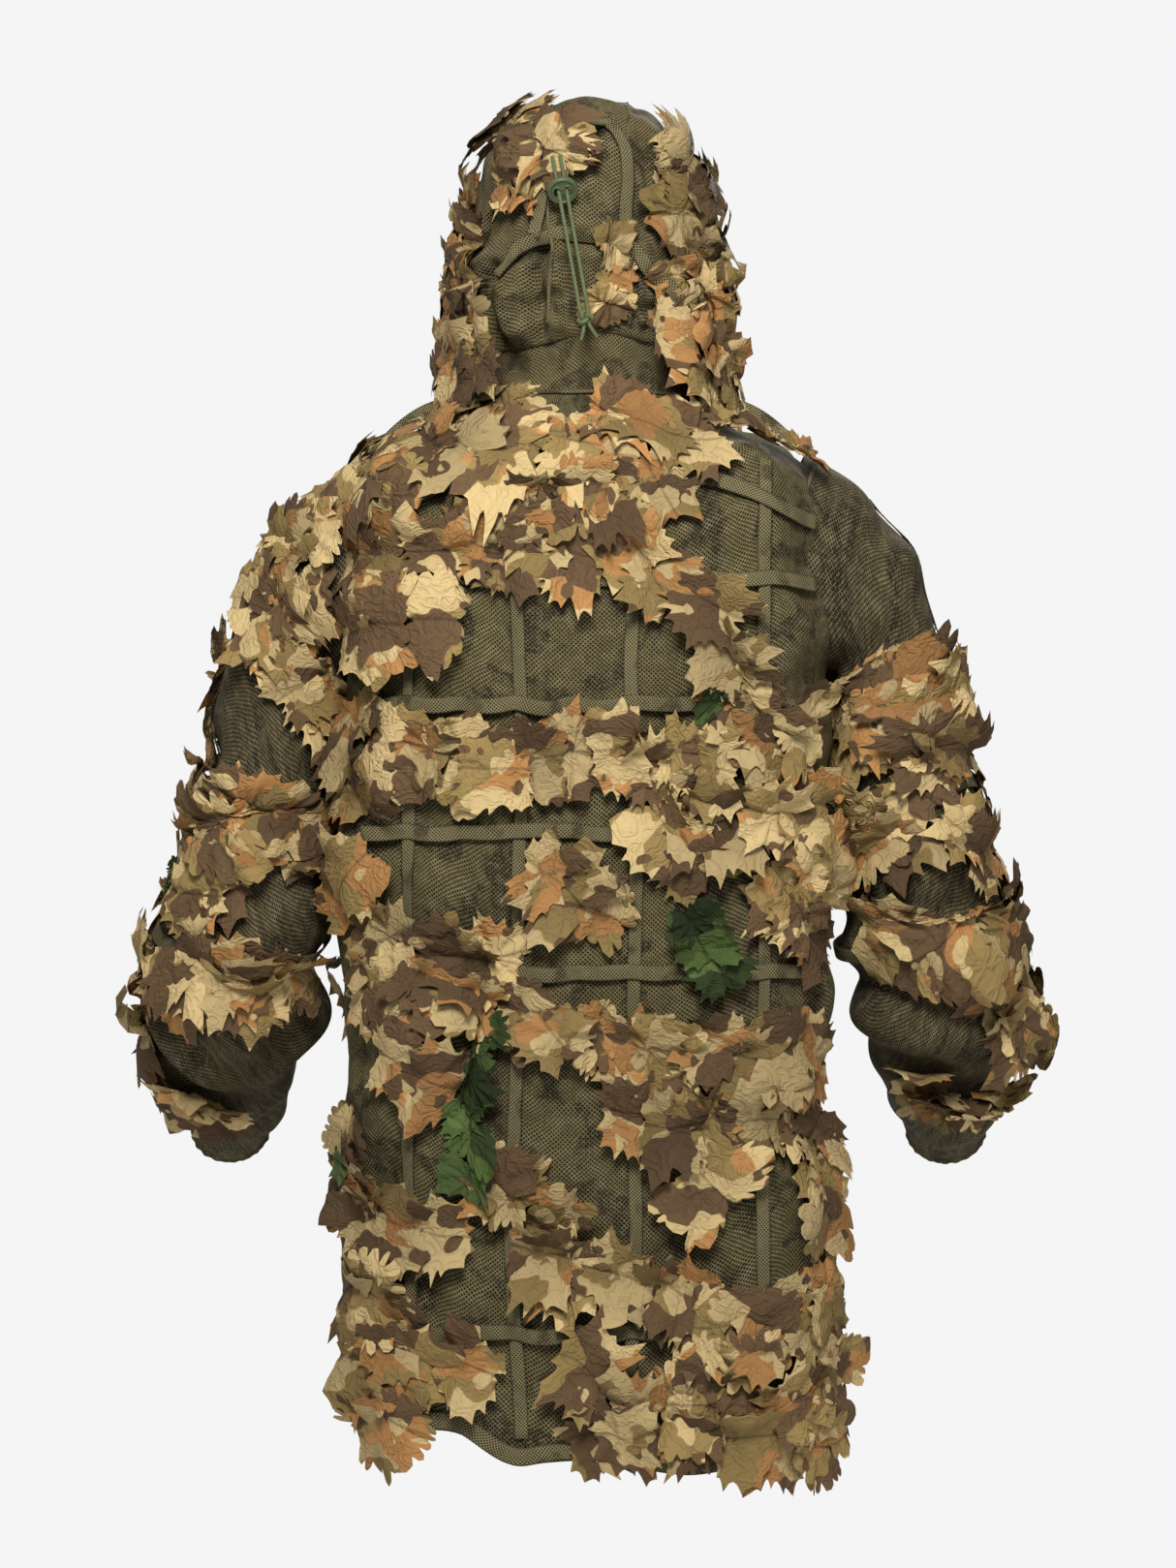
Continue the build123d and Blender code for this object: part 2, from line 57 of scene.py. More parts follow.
# Hooded ghillie jacket, in metres: net panels with folds, sewn net tapes, and strips of cut
# cloth leaves with a printed camouflage. The wearer faces -Y; the camera looks at the back.
MM = 0.001
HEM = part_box("hem_binding")[0].z
TAPE_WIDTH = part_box("back_cross_tape_1")[1].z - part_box("back_cross_tape_1")[0].z
SEAM_RADIUS = 1.5 * MM


# ------------------------------------------------------------------ camera, light, floor
VIEW_HEIGHT, VIEW_DISTANCE, LENS = -0.328, 2.60, 70  # metres, metres, millimetres
FLOOR_RADIUS, FLOOR_LEVEL, FLOOR_CORNERS = 1.9, -1.5, 96


def make_camera():
    """A level camera behind the jacket."""
    camera = bpy.data.objects.new("camera", bpy.data.cameras.new("camera"))
    bpy.context.scene.collection.objects.link(camera)
    camera.data.lens = LENS
    camera.location = (0, VIEW_DISTANCE, VIEW_HEIGHT)
    camera.rotation_euler = (radians(90), 0, radians(180))
    bpy.context.scene.camera = camera


def area_light(name, place, target, size, power):
    """A soft rectangular light that looks at a target."""
    lamp = bpy.data.objects.new(name, bpy.data.lights.new(name, "AREA"))
    lamp.data.shape = "RECTANGLE"
    lamp.data.size, lamp.data.size_y = size
    lamp.data.energy = power
    lamp.location = place
    lamp.rotation_euler = (Vector(target) - Vector(place)).to_track_quat("-Z", "Y").to_euler()
    bpy.context.scene.collection.objects.link(lamp)


def make_studio():
    """Plain pale floor, pale surroundings and soft lights all round."""
    world = bpy.data.worlds.new("studio")
    bpy.context.scene.world = world
    bpy.context.scene.view_settings.view_transform = "Standard"
    world.use_nodes = True
    tree = world.node_tree
    tree.nodes["Background"].inputs["Color"].default_value = (1, 1, 1, 1)
    tree.nodes["Background"].inputs["Strength"].default_value = 0.24
    backdrop = node(tree, "ShaderNodeBackground", {"Color": (0.91, 0.91, 0.91, 1), "Strength": 1.0})
    sight = node(tree, "ShaderNodeLightPath").outputs["Is Camera Ray"]
    light = tree.nodes["Background"].outputs[0]
    seen = node(tree, "ShaderNodeMixShader", {0: sight, 1: light, 2: backdrop.outputs[0]})
    tree.links.new(seen.outputs[0], tree.nodes["World Output"].inputs["Surface"])
    floor = bpy.data.objects.new("floor", bpy.data.meshes.new("floor"))
    turns = np.linspace(0, 2 * pi, FLOOR_CORNERS, endpoint=False)
    rim = [(FLOOR_RADIUS * cos(turn), FLOOR_RADIUS * sin(turn), FLOOR_LEVEL) for turn in turns]
    floor.data.from_pydata(rim, [], [tuple(range(FLOOR_CORNERS))])
    bpy.context.scene.collection.objects.link(floor)
    paint, _, bsdf = shader("floor_paint")
    bsdf.inputs["Base Color"].default_value = (0.8, 0.8, 0.8, 1)
    bsdf.inputs["Roughness"].default_value = 0.9
    bsdf.inputs["Emission Color"].default_value = (1, 1, 1, 1)
    bsdf.inputs["Emission Strength"].default_value = 0.12
    floor.data.materials.append(paint)
    middle = (0, 0, -0.3)
    area_light("key", (0.08, 1.80, 0.95), middle, (0.7, 0.7), 45)
    area_light("fill", (-2.2, 2.4, 0.4), middle, (1.8, 1.8), 9)
    area_light("front_key", (-0.7, -2.1, 1.3), middle, (1.0, 1.0), 52)
    area_light("front_fill", (2.2, -2.2, 0.4), middle, (1.8, 1.8), 14)


# ------------------------------------------------------------------ small helpers
def smooth(t):
    """Smooth step of a number or an array, from 0 to 1."""
    t = np.clip(t, 0, 1)
    return t * t * (3 - 2 * t)


def linear(hex_colour):
    """Linear colour of an sRGB hex string."""
    channels = [int(hex_colour[i:i + 2], 16) / 255 for i in (0, 2, 4)]
    return [((c + 0.055) / 1.055) ** 2.4 if c > 0.04045 else c / 12.92 for c in channels] + [1]


class Ripple:
    """Smooth random field made of a few dozen plane waves, the same at every run."""

    def __init__(self, seed, size, count=24):
        rng = np.random.default_rng(seed)
        direction = rng.normal(size=(count, 3))
        direction /= np.linalg.norm(direction, axis=1)[:, None]
        self.wave = direction * (2 * pi / (size * rng.uniform(0.7, 1.6, (count, 1))))
        self.phase = rng.uniform(0, 2 * pi, count)
        self.share = (2 / count) ** 0.5

    def __call__(self, points):
        return np.sin(points @ self.wave.T + self.phase).sum(-1) * self.share


def grid_normals(grid, closed):
    """Unit normals of a grid of points; the second axis may close on itself."""
    if closed:
        around = np.roll(grid, -1, 1) - np.roll(grid, 1, 1)
    else:
        around = np.gradient(grid, axis=1)
    down = np.gradient(grid, axis=0)
    normal = np.cross(down, around)
    return normal / np.maximum(np.linalg.norm(normal, axis=-1, keepdims=True), 1e-9)


def relax(grid, closed, rounds):
    """Even out a grid of points, its first and last rows and open edges kept."""
    for _ in range(rounds):
        padded = np.concatenate([grid[:, -1:], grid, grid[:, :1]], 1) if closed else grid
        if closed:
            around = (padded[:, :-2] + padded[:, 2:]) / 2
        else:
            around = grid.copy()
            around[:, 1:-1] = (grid[:, :-2] + grid[:, 2:]) / 2
        down = grid.copy()
        down[1:-1] = (grid[:-2] + grid[2:]) / 2
        grid = grid * 0.5 + around * 0.25 + down * 0.25
    return grid


def fill_gaps(rows):
    """Fill missing points of each row from their neighbours in the row."""
    for row in rows:
        missing = np.isnan(row[:, 0])
        if missing.any() and not missing.all():
            places = np.arange(len(row))
            for axis in range(3):
                row[missing, axis] = np.interp(places[missing], places[~missing], row[~missing, axis])
    return rows


def cast_grid(nodes, starts, directions):
    """Where rays meet the first wall of some CAD nodes: a grid of points, missing ones as nan."""
    trees = []
    for name in nodes:
        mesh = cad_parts[name].data
        points = [tuple(v.co) for v in mesh.vertices]
        trees.append(BVHTree.FromPolygons(points, [tuple(p.vertices) for p in mesh.polygons]))
    grid = np.full(directions.shape, np.nan)
    for place in np.ndindex(directions.shape[:2]):
        hits = [tree.ray_cast(Vector(starts[place]), Vector(directions[place])) for tree in trees]
        hits = [(hit[3], hit[0]) for hit in hits if hit[0] is not None]
        if hits:
            grid[place] = min(hits, key=lambda hit: hit[0])[1]
    return grid


def mesh_object(name, points, faces, attributes=()):
    """A smooth-shaded mesh object with point attributes: (name, kind, values)."""
    mesh = bpy.data.meshes.new(name)
    mesh.from_pydata([tuple(p) for p in points], [], faces)
    for label, kind, values in attributes:
        layer = mesh.attributes.new(label, kind, "POINT")
        key = "value" if kind == "FLOAT" else "vector"
        layer.data.foreach_set(key, np.asarray(values, np.float32).ravel())
    mesh.polygons.foreach_set("use_smooth", [True] * len(mesh.polygons))
    piece = bpy.data.objects.new(name, mesh)
    bpy.context.scene.collection.objects.link(piece)
    return piece


class Cloth:
    """A grid of points with its normals and its lengths along and across, to place things on."""

    def __init__(self, grid, closed):
        self.closed = closed
        self.barred = np.zeros(grid.shape[:2])  # 1 where nothing is to be placed
        self.set(grid)

    def set(self, grid):
        self.grid = grid
        self.normal = grid_normals(grid, self.closed)
        self.rows, self.columns = grid.shape[:2]
        across = np.linalg.norm(np.diff(grid, axis=1), axis=-1)
        down = np.linalg.norm(np.diff(grid, axis=0), axis=-1)
        self.across = np.concatenate([np.zeros((self.rows, 1)), np.cumsum(across, 1)], 1)
        self.down = np.concatenate([np.zeros((1, self.columns)), np.cumsum(down, 0)], 0)

    def sample(self, field, u, v):
        """A field's value at u across and v down, both from 0 to 1."""
        row = np.clip(np.asarray(v, float), 0, 1) * (self.rows - 1)
        if self.closed:
            column = np.mod(np.asarray(u, float), 1) * self.columns
        else:
            column = np.clip(np.asarray(u, float), 0, 1) * (self.columns - 1)
        r0 = np.minimum(row.astype(int), self.rows - 2)
        c0 = column.astype(int)
        c0 = np.mod(c0, self.columns) if self.closed else np.minimum(c0, self.columns - 2)
        c1 = np.mod(c0 + 1, self.columns)
        fr = (row - r0)[..., None]
        fc = (column - np.floor(column))[..., None] if self.closed else (column - c0)[..., None]
        top = field[r0, c0] * (1 - fc) + field[r0, c1] * fc
        low = field[r0 + 1, c0] * (1 - fc) + field[r0 + 1, c1] * fc
        return top * (1 - fr) + low * fr

    def point(self, u, v):
        """The cloth's point at (u, v); past its first or last row it goes on straight."""
        over = np.asarray(v, float) - np.clip(v, 0, 1)
        edge = np.where(over > 0, 1.0, 0.0)
        ahead = self.sample(self.grid, u, edge * 0.97 + 0.03) - self.sample(self.grid, u, edge * 0.97)
        return self.sample(self.grid, u, v) + ahead / 0.03 * over[..., None]

    def outward(self, u, v):
        normal = self.sample(self.normal, u, v)
        return normal / np.linalg.norm(normal, axis=-1, keepdims=True)

    def reach(self, u, v):
        """Metres per unit of u and of v there."""
        step = 0.01
        low, high = max(v - step, 0.0), min(v + step, 1.0)
        across = np.linalg.norm(self.point(u + step, v) - self.point(u - step, v)) / (2 * step)
        down = np.linalg.norm(self.point(u, high) - self.point(u, low)) / (high - low)
        return max(across, 0.05), max(down, 0.05)

    def nearest(self, x, z, back=True):
        """(u, v) of the grid point nearest to an x and z, on the side that faces back or front."""
        distance = np.hypot(self.grid[..., 0] - x, self.grid[..., 2] - z) + self.barred
        distance = np.where((self.normal[..., 1] > -0.05) == back, distance, 9)
        row, column = np.unravel_index(np.argmin(distance), distance.shape)
        span = self.columns if self.closed else self.columns - 1
        return column / span, row / (self.rows - 1)


def net_piece(name, cloth, columns, keep=None):
    """The part of a cloth grid between two columns as a mesh, with its lengths for the weave."""
    first, last = columns
    order = [c % cloth.columns for c in range(first, last + 1)]
    width = len(order)
    part = cloth.grid[:, order]
    steps = np.linalg.norm(np.diff(part, axis=1, prepend=part[:, :1]), axis=-1).mean(0)
    across = np.tile(np.cumsum(steps), (cloth.rows, 1))
    points = part.reshape(-1, 3)
    weave = np.stack([across, cloth.down[:, order], 0 * across], -1).reshape(-1, 3)
    faces = []
    for row in range(cloth.rows - 1):
        for column in range(width - 1):
            corner = row * width + column
            quad = (corner, corner + width, corner + width + 1, corner + 1)
            if keep is None or keep(points[list(quad)].mean(0)):
                faces.append(quad)
    used = sorted({i for face in faces for i in face})
    index = {old: new for new, old in enumerate(used)}
    faces = [tuple(index[i] for i in face) for face in faces]
    return mesh_object(name, points[used], faces, [("weave", "FLOAT_VECTOR", weave[used])])


def finish_piece(piece, material, body, nodes=(), blend=None):
    """Material, slot and replaced nodes of a piece, and its body; with a blend its transform is baked in
    instead and it gets no body. Leaves have their material already.
    """
    if material:
        piece.data.materials.append(material)
    if nodes:
        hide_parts(*nodes)
    if blend:
        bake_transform(piece)
    else:
        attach(piece, body)
    return piece


# ------------------------------------------------------------------ the garment's surfaces
def resample(points, count):
    """Points along a polyline, evenly spaced."""
    steps = np.linalg.norm(np.diff(points, axis=0), axis=1)
    place = np.concatenate([[0], np.cumsum(steps)])
    wanted = np.linspace(0, place[-1], count)
    return np.stack([np.interp(wanted, place, points[:, axis]) for axis in range(3)], 1)


SIDE_COLUMNS = 40  # columns of a front
BACK_COLUMNS = 84  # columns of the back
ZIP_HALF_GAP = 8 * MM


def torso_grid():
    """Rows from the neckline to the hem, columns from the left front's edge round the back."""
    levels = np.concatenate([np.linspace(-1.5 * MM, -0.074, 24), np.linspace(-0.081, HEM + 1 * MM, 112)])
    angles = np.radians(np.linspace(0, 360, 300, endpoint=False) + 0.6)
    directions = np.stack([np.sin(angles), -np.cos(angles), 0 * angles], 1)
    starts = np.zeros((len(levels), len(angles), 3))
    starts[..., 2] = levels[:, None]
    nodes = ("back_panel", "front_panel_left", "front_panel_right", "hem_binding")
    hits = fill_gaps(cast_grid(nodes, starts, np.broadcast_to(directions, starts.shape).copy()))
    grid = []
    for row in hits:
        left, back, right = row[1:76], row[75:226], row[225:299]
        left = np.concatenate([[[ZIP_HALF_GAP, row[0, 1], row[0, 2]]], left[left[:, 0] > ZIP_HALF_GAP]])
        right = np.concatenate([right[right[:, 0] < -ZIP_HALF_GAP], [[-ZIP_HALF_GAP, row[0, 1], row[0, 2]]]])
        left, right = resample(left, SIDE_COLUMNS + 1), resample(right, SIDE_COLUMNS + 1)
        grid.append(np.concatenate([left[:-1], resample(back, BACK_COLUMNS + 1), right[1:]]))
    return relax(np.array(grid), False, 12)


SLEEVE = (  # centre, direction, half width and half depth of the rings of the left sleeve
    ((0.184, 0, -0.150), (1, 0, 0), 0.102, 0.090),
    ((0.208, 0, -0.155), (0.98, 0, -0.2), 0.087, 0.076),
    ((0.234, 0, -0.176), (0.92, 0, -0.38), 0.070, 0.067),
    ((0.252, 0, -0.219), (0.63, 0, -0.77), 0.056, 0.071),
    ((0.262, 0, -0.284), (0.20, 0, -0.98), 0.051, 0.073),
    ((0.275, 0.002, -0.375), (0.14, 0, -0.99), 0.059, 0.075),
    ((0.290, 0.006, -0.450), (0.12, -0.10, -0.98), 0.067, 0.077),
    ((0.303, -0.008, -0.512), (0.12, -0.52, -0.84), 0.071, 0.073),
    ((0.312, -0.062, -0.556), (0.10, -0.80, -0.60), 0.065, 0.061),
    ((0.320, -0.125, -0.590), (0.08, -0.85, -0.52), 0.053, 0.049),
    ((0.325, -0.176, -0.620), (0.06, -0.82, -0.57), 0.043, 0.041),
    ((0.3265, -0.190, -0.6297), (0.06, -0.82, -0.57), 0.040, 0.038),
)


SHOULDER_WRAP = 0.020  # how far the armhole's front and back edges lie inside its top


def sleeve_grid(side):
    """Rows from the armhole to the wrist, columns round the arm from its outer side."""
    rings = np.array([[*centre, *direction, width, depth] for centre, direction, width, depth in SLEEVE])
    place = np.concatenate([[0], np.cumsum(np.linalg.norm(np.diff(rings[:, :3], axis=0), axis=1))])
    wanted = np.linspace(0, place[-1], 120)
    rows = np.stack([np.interp(wanted, place, rings[:, i]) for i in range(8)], 1)
    for _ in range(10):
        rows[1:-1] = rows[1:-1] * 0.5 + (rows[:-2] + rows[2:]) * 0.25
    columns = 72
    turn = np.linspace(0, 2 * pi, columns, endpoint=False)
    grid = np.zeros((len(rows), columns, 3))
    for index, row in enumerate(rows):
        along = row[3:6] / np.linalg.norm(row[3:6])
        across = np.cross(along, (0, 1, 0))
        across /= np.linalg.norm(across)
        depth = np.cross(across, along)
        grid[index] = (row[:3] + np.outer(np.cos(turn) * row[6], across)
                       + np.outer(np.sin(turn) * row[7], depth))
    share = np.linspace(0, 1, len(rows))[:, None]
    grid[..., 0] -= SHOULDER_WRAP * np.sin(turn) ** 2 * (1 - smooth(share / 0.12))
    grid[..., 0] *= side
    return grid if side > 0 else grid[:, (-np.arange(columns)) % columns]


FACE_HALF_WIDTH, FACE_HALF_HEIGHT, FACE_MIDDLE = 0.064, 0.080, 0.140
FACE_DEPTH = -0.060  # y of the back edge of the face's surroundings


def hood_grid():
    """Rows from the crown to the neck, columns round from the face over the left ear."""
    columns, heart = 168, 0.130
    turn = np.linspace(0, 2 * pi, columns, endpoint=False)
    starts, directions = [], []
    for tilt in np.radians(np.linspace(87, 0, 46)):
        starts.append([(0, -0.004, heart)] * columns)
        directions.append(np.stack(
            [np.sin(turn) * cos(tilt), -np.cos(turn) * cos(tilt), 0 * turn + sin(tilt)], 1))
    for height in np.linspace(heart - 0.004, 0.0485, 22):
        starts.append([(0, -0.004, height)] * columns)
        directions.append(np.stack([np.sin(turn), -np.cos(turn), 0 * turn], 1))
    nodes = ("hood_left_panel", "hood_right_panel", "hood_centre_panel", "hood_face_binding")
    grid = cast_grid(nodes, np.array(starts), np.array(directions))
    grid = relax(fill_gaps(grid), True, 12)
    under = []
    for lift, scale in ((-0.004, 0.975), (-0.003, 0.93), (0.002, 0.88)):
        ring = grid[-1].copy()
        ring[:, :2] *= scale
        ring[:, 2] += lift
        under.append(ring)
    return np.concatenate([grid, np.array(under)])


def swell(at, centre, size):
    """1 at a centre, falling off smoothly over a size along x, y and z."""
    return np.exp(-(((at - np.array(centre)) / np.array(size)) ** 2).sum(-1))


def fold_torso(cloth):
    """Loose folds of the worn net: pleats towards the hem, pulls below the shoulders, small crumples."""
    at = cloth.grid
    down = smooth((-at[..., 2] - 0.05) / 0.5)
    bend = Ripple(3, 0.5)(at)
    pleats = np.sin(at[..., 0] * 46 + 2.2 * bend + at[..., 2] * 4) * Ripple(4, 0.33)(at)
    pulls = np.sin((at[..., 2] * 52 + np.abs(at[..., 0]) * 30) + 1.8 * Ripple(5, 0.3)(at))
    pulls = pulls * smooth((np.abs(at[..., 0]) - 0.05) / 0.1) * smooth((0.42 + at[..., 2]) / 0.2)
    crumple = Ripple(6, 0.075)(at)
    fine = Ripple(7, 0.034)(at)
    crease = np.exp(-(Ripple(8, 0.16)(at * (2.2, 1.0, 0.55)) / 0.45) ** 2)
    rise = 5.0 * MM * down * pleats + 3.0 * MM * pulls + 2.6 * MM * crumple + 1.0 * MM * fine + 3.0 * MM
    rise = rise - 3.4 * MM * crease
    beside_arm = smooth((-at[..., 2] - 0.235) / 0.05) * smooth((0.57 + at[..., 2]) / 0.06)
    rise = rise + 4.0 * MM * beside_arm * smooth((np.abs(at[..., 0]) - 0.165) / 0.03)
    column = np.arange(cloth.columns)
    edge = smooth(np.minimum(column, column[::-1]) / 5)
    top = smooth(np.arange(cloth.rows) / 8)[:, None]
    grid = at + cloth.normal * (rise * edge * top)[..., None]
    low_part = smooth((-at[..., 2] - 0.62) / 0.25)
    behind = smooth((at[..., 1] + 0.06) / 0.08)
    ridden_up = 0.036 * smooth((at[..., 0] - 0.05) / 0.06) - 0.010 + 0.006 * np.sin(at[..., 0] * 34 + 1)
    grid[..., 2] += low_part * (behind * ridden_up + (1 - behind) * 0.006 * np.sin(at[..., 0] * 22))
    cloth.set(grid)


def fold_sleeve(cloth, side):
    """Folds across a loose sleeve, deepest at the inner elbow and above the gathered cuff."""
    at = cloth.grid
    span = np.linspace(0, 1, cloth.rows)[:, None]
    twist = Ripple(21 + side, 0.22)(at)
    length = span * 0.62
    turn = np.linspace(0, 2 * pi, cloth.columns, endpoint=False)[None]
    rings = np.sin(length * 92 + 2.4 * twist + 1.3 * np.sin(turn + side))
    elbow = np.exp(-((span - 0.68) / 0.13) ** 2)
    spiral = np.sin(length * 60 + turn * 2 + 1.5 * twist)
    crumple = Ripple(23 + side, 0.06)(at)
    gather = smooth((span - 0.93) / 0.05) * np.sin(turn * 16 + 3 * twist)
    rise = (2.2 + 4.5 * elbow) * MM * rings + 2.8 * MM * spiral + 2.0 * MM * crumple + 1.6 * MM * gather
    beside_body = smooth((-at[..., 2] - 0.235) / 0.05) * smooth((0.57 + at[..., 2]) / 0.06)
    rise = rise + 4.0 * MM * beside_body * smooth((-side * cloth.normal[..., 0] - 0.2) / 0.6)
    rise = rise * smooth(span / 0.06) * smooth((1.02 - span) / 0.06)
    cloth.set(at + cloth.normal * rise[..., None])


def away_from(at, path):
    """Distance, seen from behind, from points to a broken line of (x, z) places."""
    nearest = np.full(at.shape[:-1], 9.0)
    flat = at[..., (0, 2)]
    for start, end in zip(path, path[1:]):
        start, run = np.array(start) * MM, (np.array(end) - np.array(start)) * MM
        share = np.clip(((flat - start) @ run) / (run @ run), 0, 1)
        nearest = np.minimum(nearest, np.linalg.norm(flat - start - share[..., None] * run, axis=-1))
    return nearest


# The fold that curls round the hood's right lobe, with a tape on it: (x, z) places in millimetres.
RIGHT_FOLD = (
    (84, 98), (60, 110), (36, 121), (10, 124), (-28, 119),
    (-42, 109), (-52, 87), (-70, 76), (-76, 62), (-62, 48),
)
# Soft swellings of the hood's back: x, z, half width, half height and how far out, in millimetres.
HOOD_LOBES = (
    (57, 76, 17, 34, 12), (-56, 70, 22, 14, 9), (-34, 88, 12, 18, 7),
    (-30, 196, 50, 34, 6), (50, 190, 30, 34, 6), (4, 104, 16, 20, 4),
    (-102, 110, 14, 40, -4), (96, 110, 12, 40, -4), (24, 60, 12, 12, 6),
)
# Creases of the hood's back: depth (a ridge is below 0), half width, and (x, z) places along it.
HOOD_CREASES = (
    (9, 5.0, ((36, 114), (41, 84), (38, 50))),
    (8, 5.5, ((76, 100), (79, 72), (66, 46))),
    (8, 4.5, ((-12, 68), (-42, 65), (-66, 68))),
    (7, 4.5, ((-30, 108), (-39, 90), (-56, 79), (-62, 62), (-48, 52))),
    (-7, 7.0, RIGHT_FOLD[4:]),
    (6, 4.5, ((16, 100), (11, 76), (8, 58))),
    (5, 5.0, ((-2, 176), (-6, 216))),
    (6, 5.0, ((62, 178), (80, 152), (92, 118))),
    (6, 4.5, ((6, 56), (28, 74), (56, 66))),
    (5, 4.0, ((-4, 54), (-26, 58), (-52, 54))),
    (7, 5.0, ((80, 92), (56, 104), (34, 114))),
    (6, 5.0, ((12, 117), (-26, 112))),
    (5, 5.0, ((-44, 200), (-52, 160), (-46, 130))),
    (5, 4.5, ((50, 160), (38, 146), (20, 140))),
    (5, 4.0, ((24, 150), (30, 176), (34, 200))),
)


def fold_hood(cloth):
    """The hood puffs out in lobes round its drawcord and is creased towards the cord's ends."""
    at = cloth.grid
    x, z = at[..., 0], at[..., 2]
    behind = smooth((at[..., 1] + 0.01) / 0.06)
    rise = np.zeros(x.shape)
    for place, height, width, tall, push in HOOD_LOBES:
        rise = rise + push * MM * swell(at * (1, 0, 1) / MM, (place, 0, height), (width, 1, tall))
    for depth, width, path in HOOD_CREASES:
        away = away_from(at, path) / (width * MM)
        rise = rise - depth * MM * (np.exp(-away ** 2) - 0.35 * np.exp(-(away - 2) ** 2))
    bend = Ripple(31, 0.16)(at)
    ruck = np.sin(z * 170 + 2.6 * bend + x * 40) * np.exp(-((z - 0.100) / 0.04) ** 2)
    seam = -2.5 * MM * np.exp(-((np.abs(x) - 0.038) / 0.004) ** 2)
    crumple = 2.0 * MM * Ripple(32, 0.06)(at) + 0.8 * MM * Ripple(33, 0.028)(at)
    rise = behind * (rise + 1.2 * MM * ruck) + seam + crumple + 1.5 * MM
    fade = 0.3 + 0.7 * smooth((z - 0.046) / 0.012)
    grid = at + cloth.normal * (rise * fade)[..., None]
    low_part = behind * smooth((0.085 - z) / 0.035)
    grid[..., 2] -= low_part * (0.014 - 0.012 * np.exp(-((x + 0.012) / 0.045) ** 2))
    cloth.set(grid)
    cloth.barred = 1.0 * (grid[..., 1] < FACE_DEPTH)


def neck_grid(torso, hood):
    """The smooth panel that goes from the shoulders' top row up and out to the hood's lower edge."""
    low = torso.grid[0]
    edge = hood.grid[-4]
    turn = np.mod(np.arctan2(low[:, 0], -(low[:, 1] + 0.004)), 2 * pi) / (2 * pi) * hood.columns
    first = turn.astype(int) % hood.columns
    share = (turn - turn.astype(int))[:, None]
    high = edge[first] * (1 - share) + edge[(first + 1) % hood.columns] * share
    high = high * (0.975, 0.975, 1) + (0, 0, 4 * MM)
    high[:, 2] = np.minimum(high[:, 2], 0.053)
    rows = []
    for t in np.linspace(1.12, -0.06, 18):
        ring = low + (high - low) * smooth(t) if 0 <= t <= 1 else (high if t > 1 else low)
        ring = ring.copy()
        ring[:, 2] = low[:, 2] + (high[:, 2] - low[:, 2]) * t
        waist = 1 - 0.035 * sin(pi * min(max(t, 0), 1)) * smooth(np.abs(ring[:, :1]) / 0.05)
        ring[:, :2] *= waist
        ring[0, 0], ring[-1, 0] = ZIP_HALF_GAP, -ZIP_HALF_GAP
        rows.append(ring)
    return np.array(rows)


# ------------------------------------------------------------------ materials
def shader(name):
    """A new material with its nodes, its links and its Principled shader."""
    material = bpy.data.materials.new(name)
    material.use_nodes = True
    tree = material.node_tree
    return material, tree, tree.nodes["Principled BSDF"]


def node(tree, kind, inputs=(), **settings):
    """A shader node with some settings, its inputs given as values or as other nodes' outputs."""
    made = tree.nodes.new(kind)
    for key, value in settings.items():
        setattr(made, key, value)
    for key, value in dict(inputs).items():
        if isinstance(value, bpy.types.NodeSocket):
            tree.links.new(value, made.inputs[key])
        else:
            made.inputs[key].default_value = value
    return made


def math_node(tree, operation, *values):
    """Output of a math node."""
    return node(tree, "ShaderNodeMath", dict(enumerate(values)), operation=operation).outputs[0]


def attribute(tree, name):
    """Vector output of a mesh attribute."""
    return node(tree, "ShaderNodeAttribute", attribute_name=name).outputs["Vector"]


def value_attribute(tree, name):
    """Number output of a mesh attribute."""
    return node(tree, "ShaderNodeAttribute", attribute_name=name).outputs["Fac"]


def noise(tree, vector, scale, detail=2.0, rough=0.5, warp=0.0):
    """Output of a noise texture, from 0 to 1."""
    inputs = {"Vector": vector, "Scale": scale, "Detail": detail, "Roughness": rough, "Distortion": warp}
    return node(tree, "ShaderNodeTexNoise", inputs).outputs["Fac"]


def mix(tree, share, first, second, mode="MIX"):
    """Colour output of a mix of two colours."""
    inputs = {0: share, 6: first, 7: second}
    return node(tree, "ShaderNodeMix", inputs, data_type="RGBA", blend_type=mode).outputs[2]


def threshold(tree, value, edge, width):
    """0 below an edge and 1 above it, over a narrow width."""
    inputs = {"Value": value, "From Min": edge - width, "From Max": edge + width}
    return node(tree, "ShaderNodeMapRange", inputs, clamp=True).outputs[0]


def weave_mask(tree, coordinate, pitch, diagonal):
    """1 on the threads of a square net and 0 in its holes; the net may lie diagonally."""
    if diagonal:
        turned = node(tree, "ShaderNodeMapping", {"Vector": coordinate, "Rotation": (0, 0, radians(45))})
        coordinate = turned.outputs[0]
    parts = node(tree, "ShaderNodeSeparateXYZ", {"Vector": coordinate})
    waves = []
    for axis in (0, 1):
        phase = math_node(tree, "MULTIPLY", parts.outputs[axis], 2 * pi / pitch)
        waves.append(math_node(tree, "SINE", phase))
    return math_node(tree, "MAXIMUM", waves[0], waves[1])


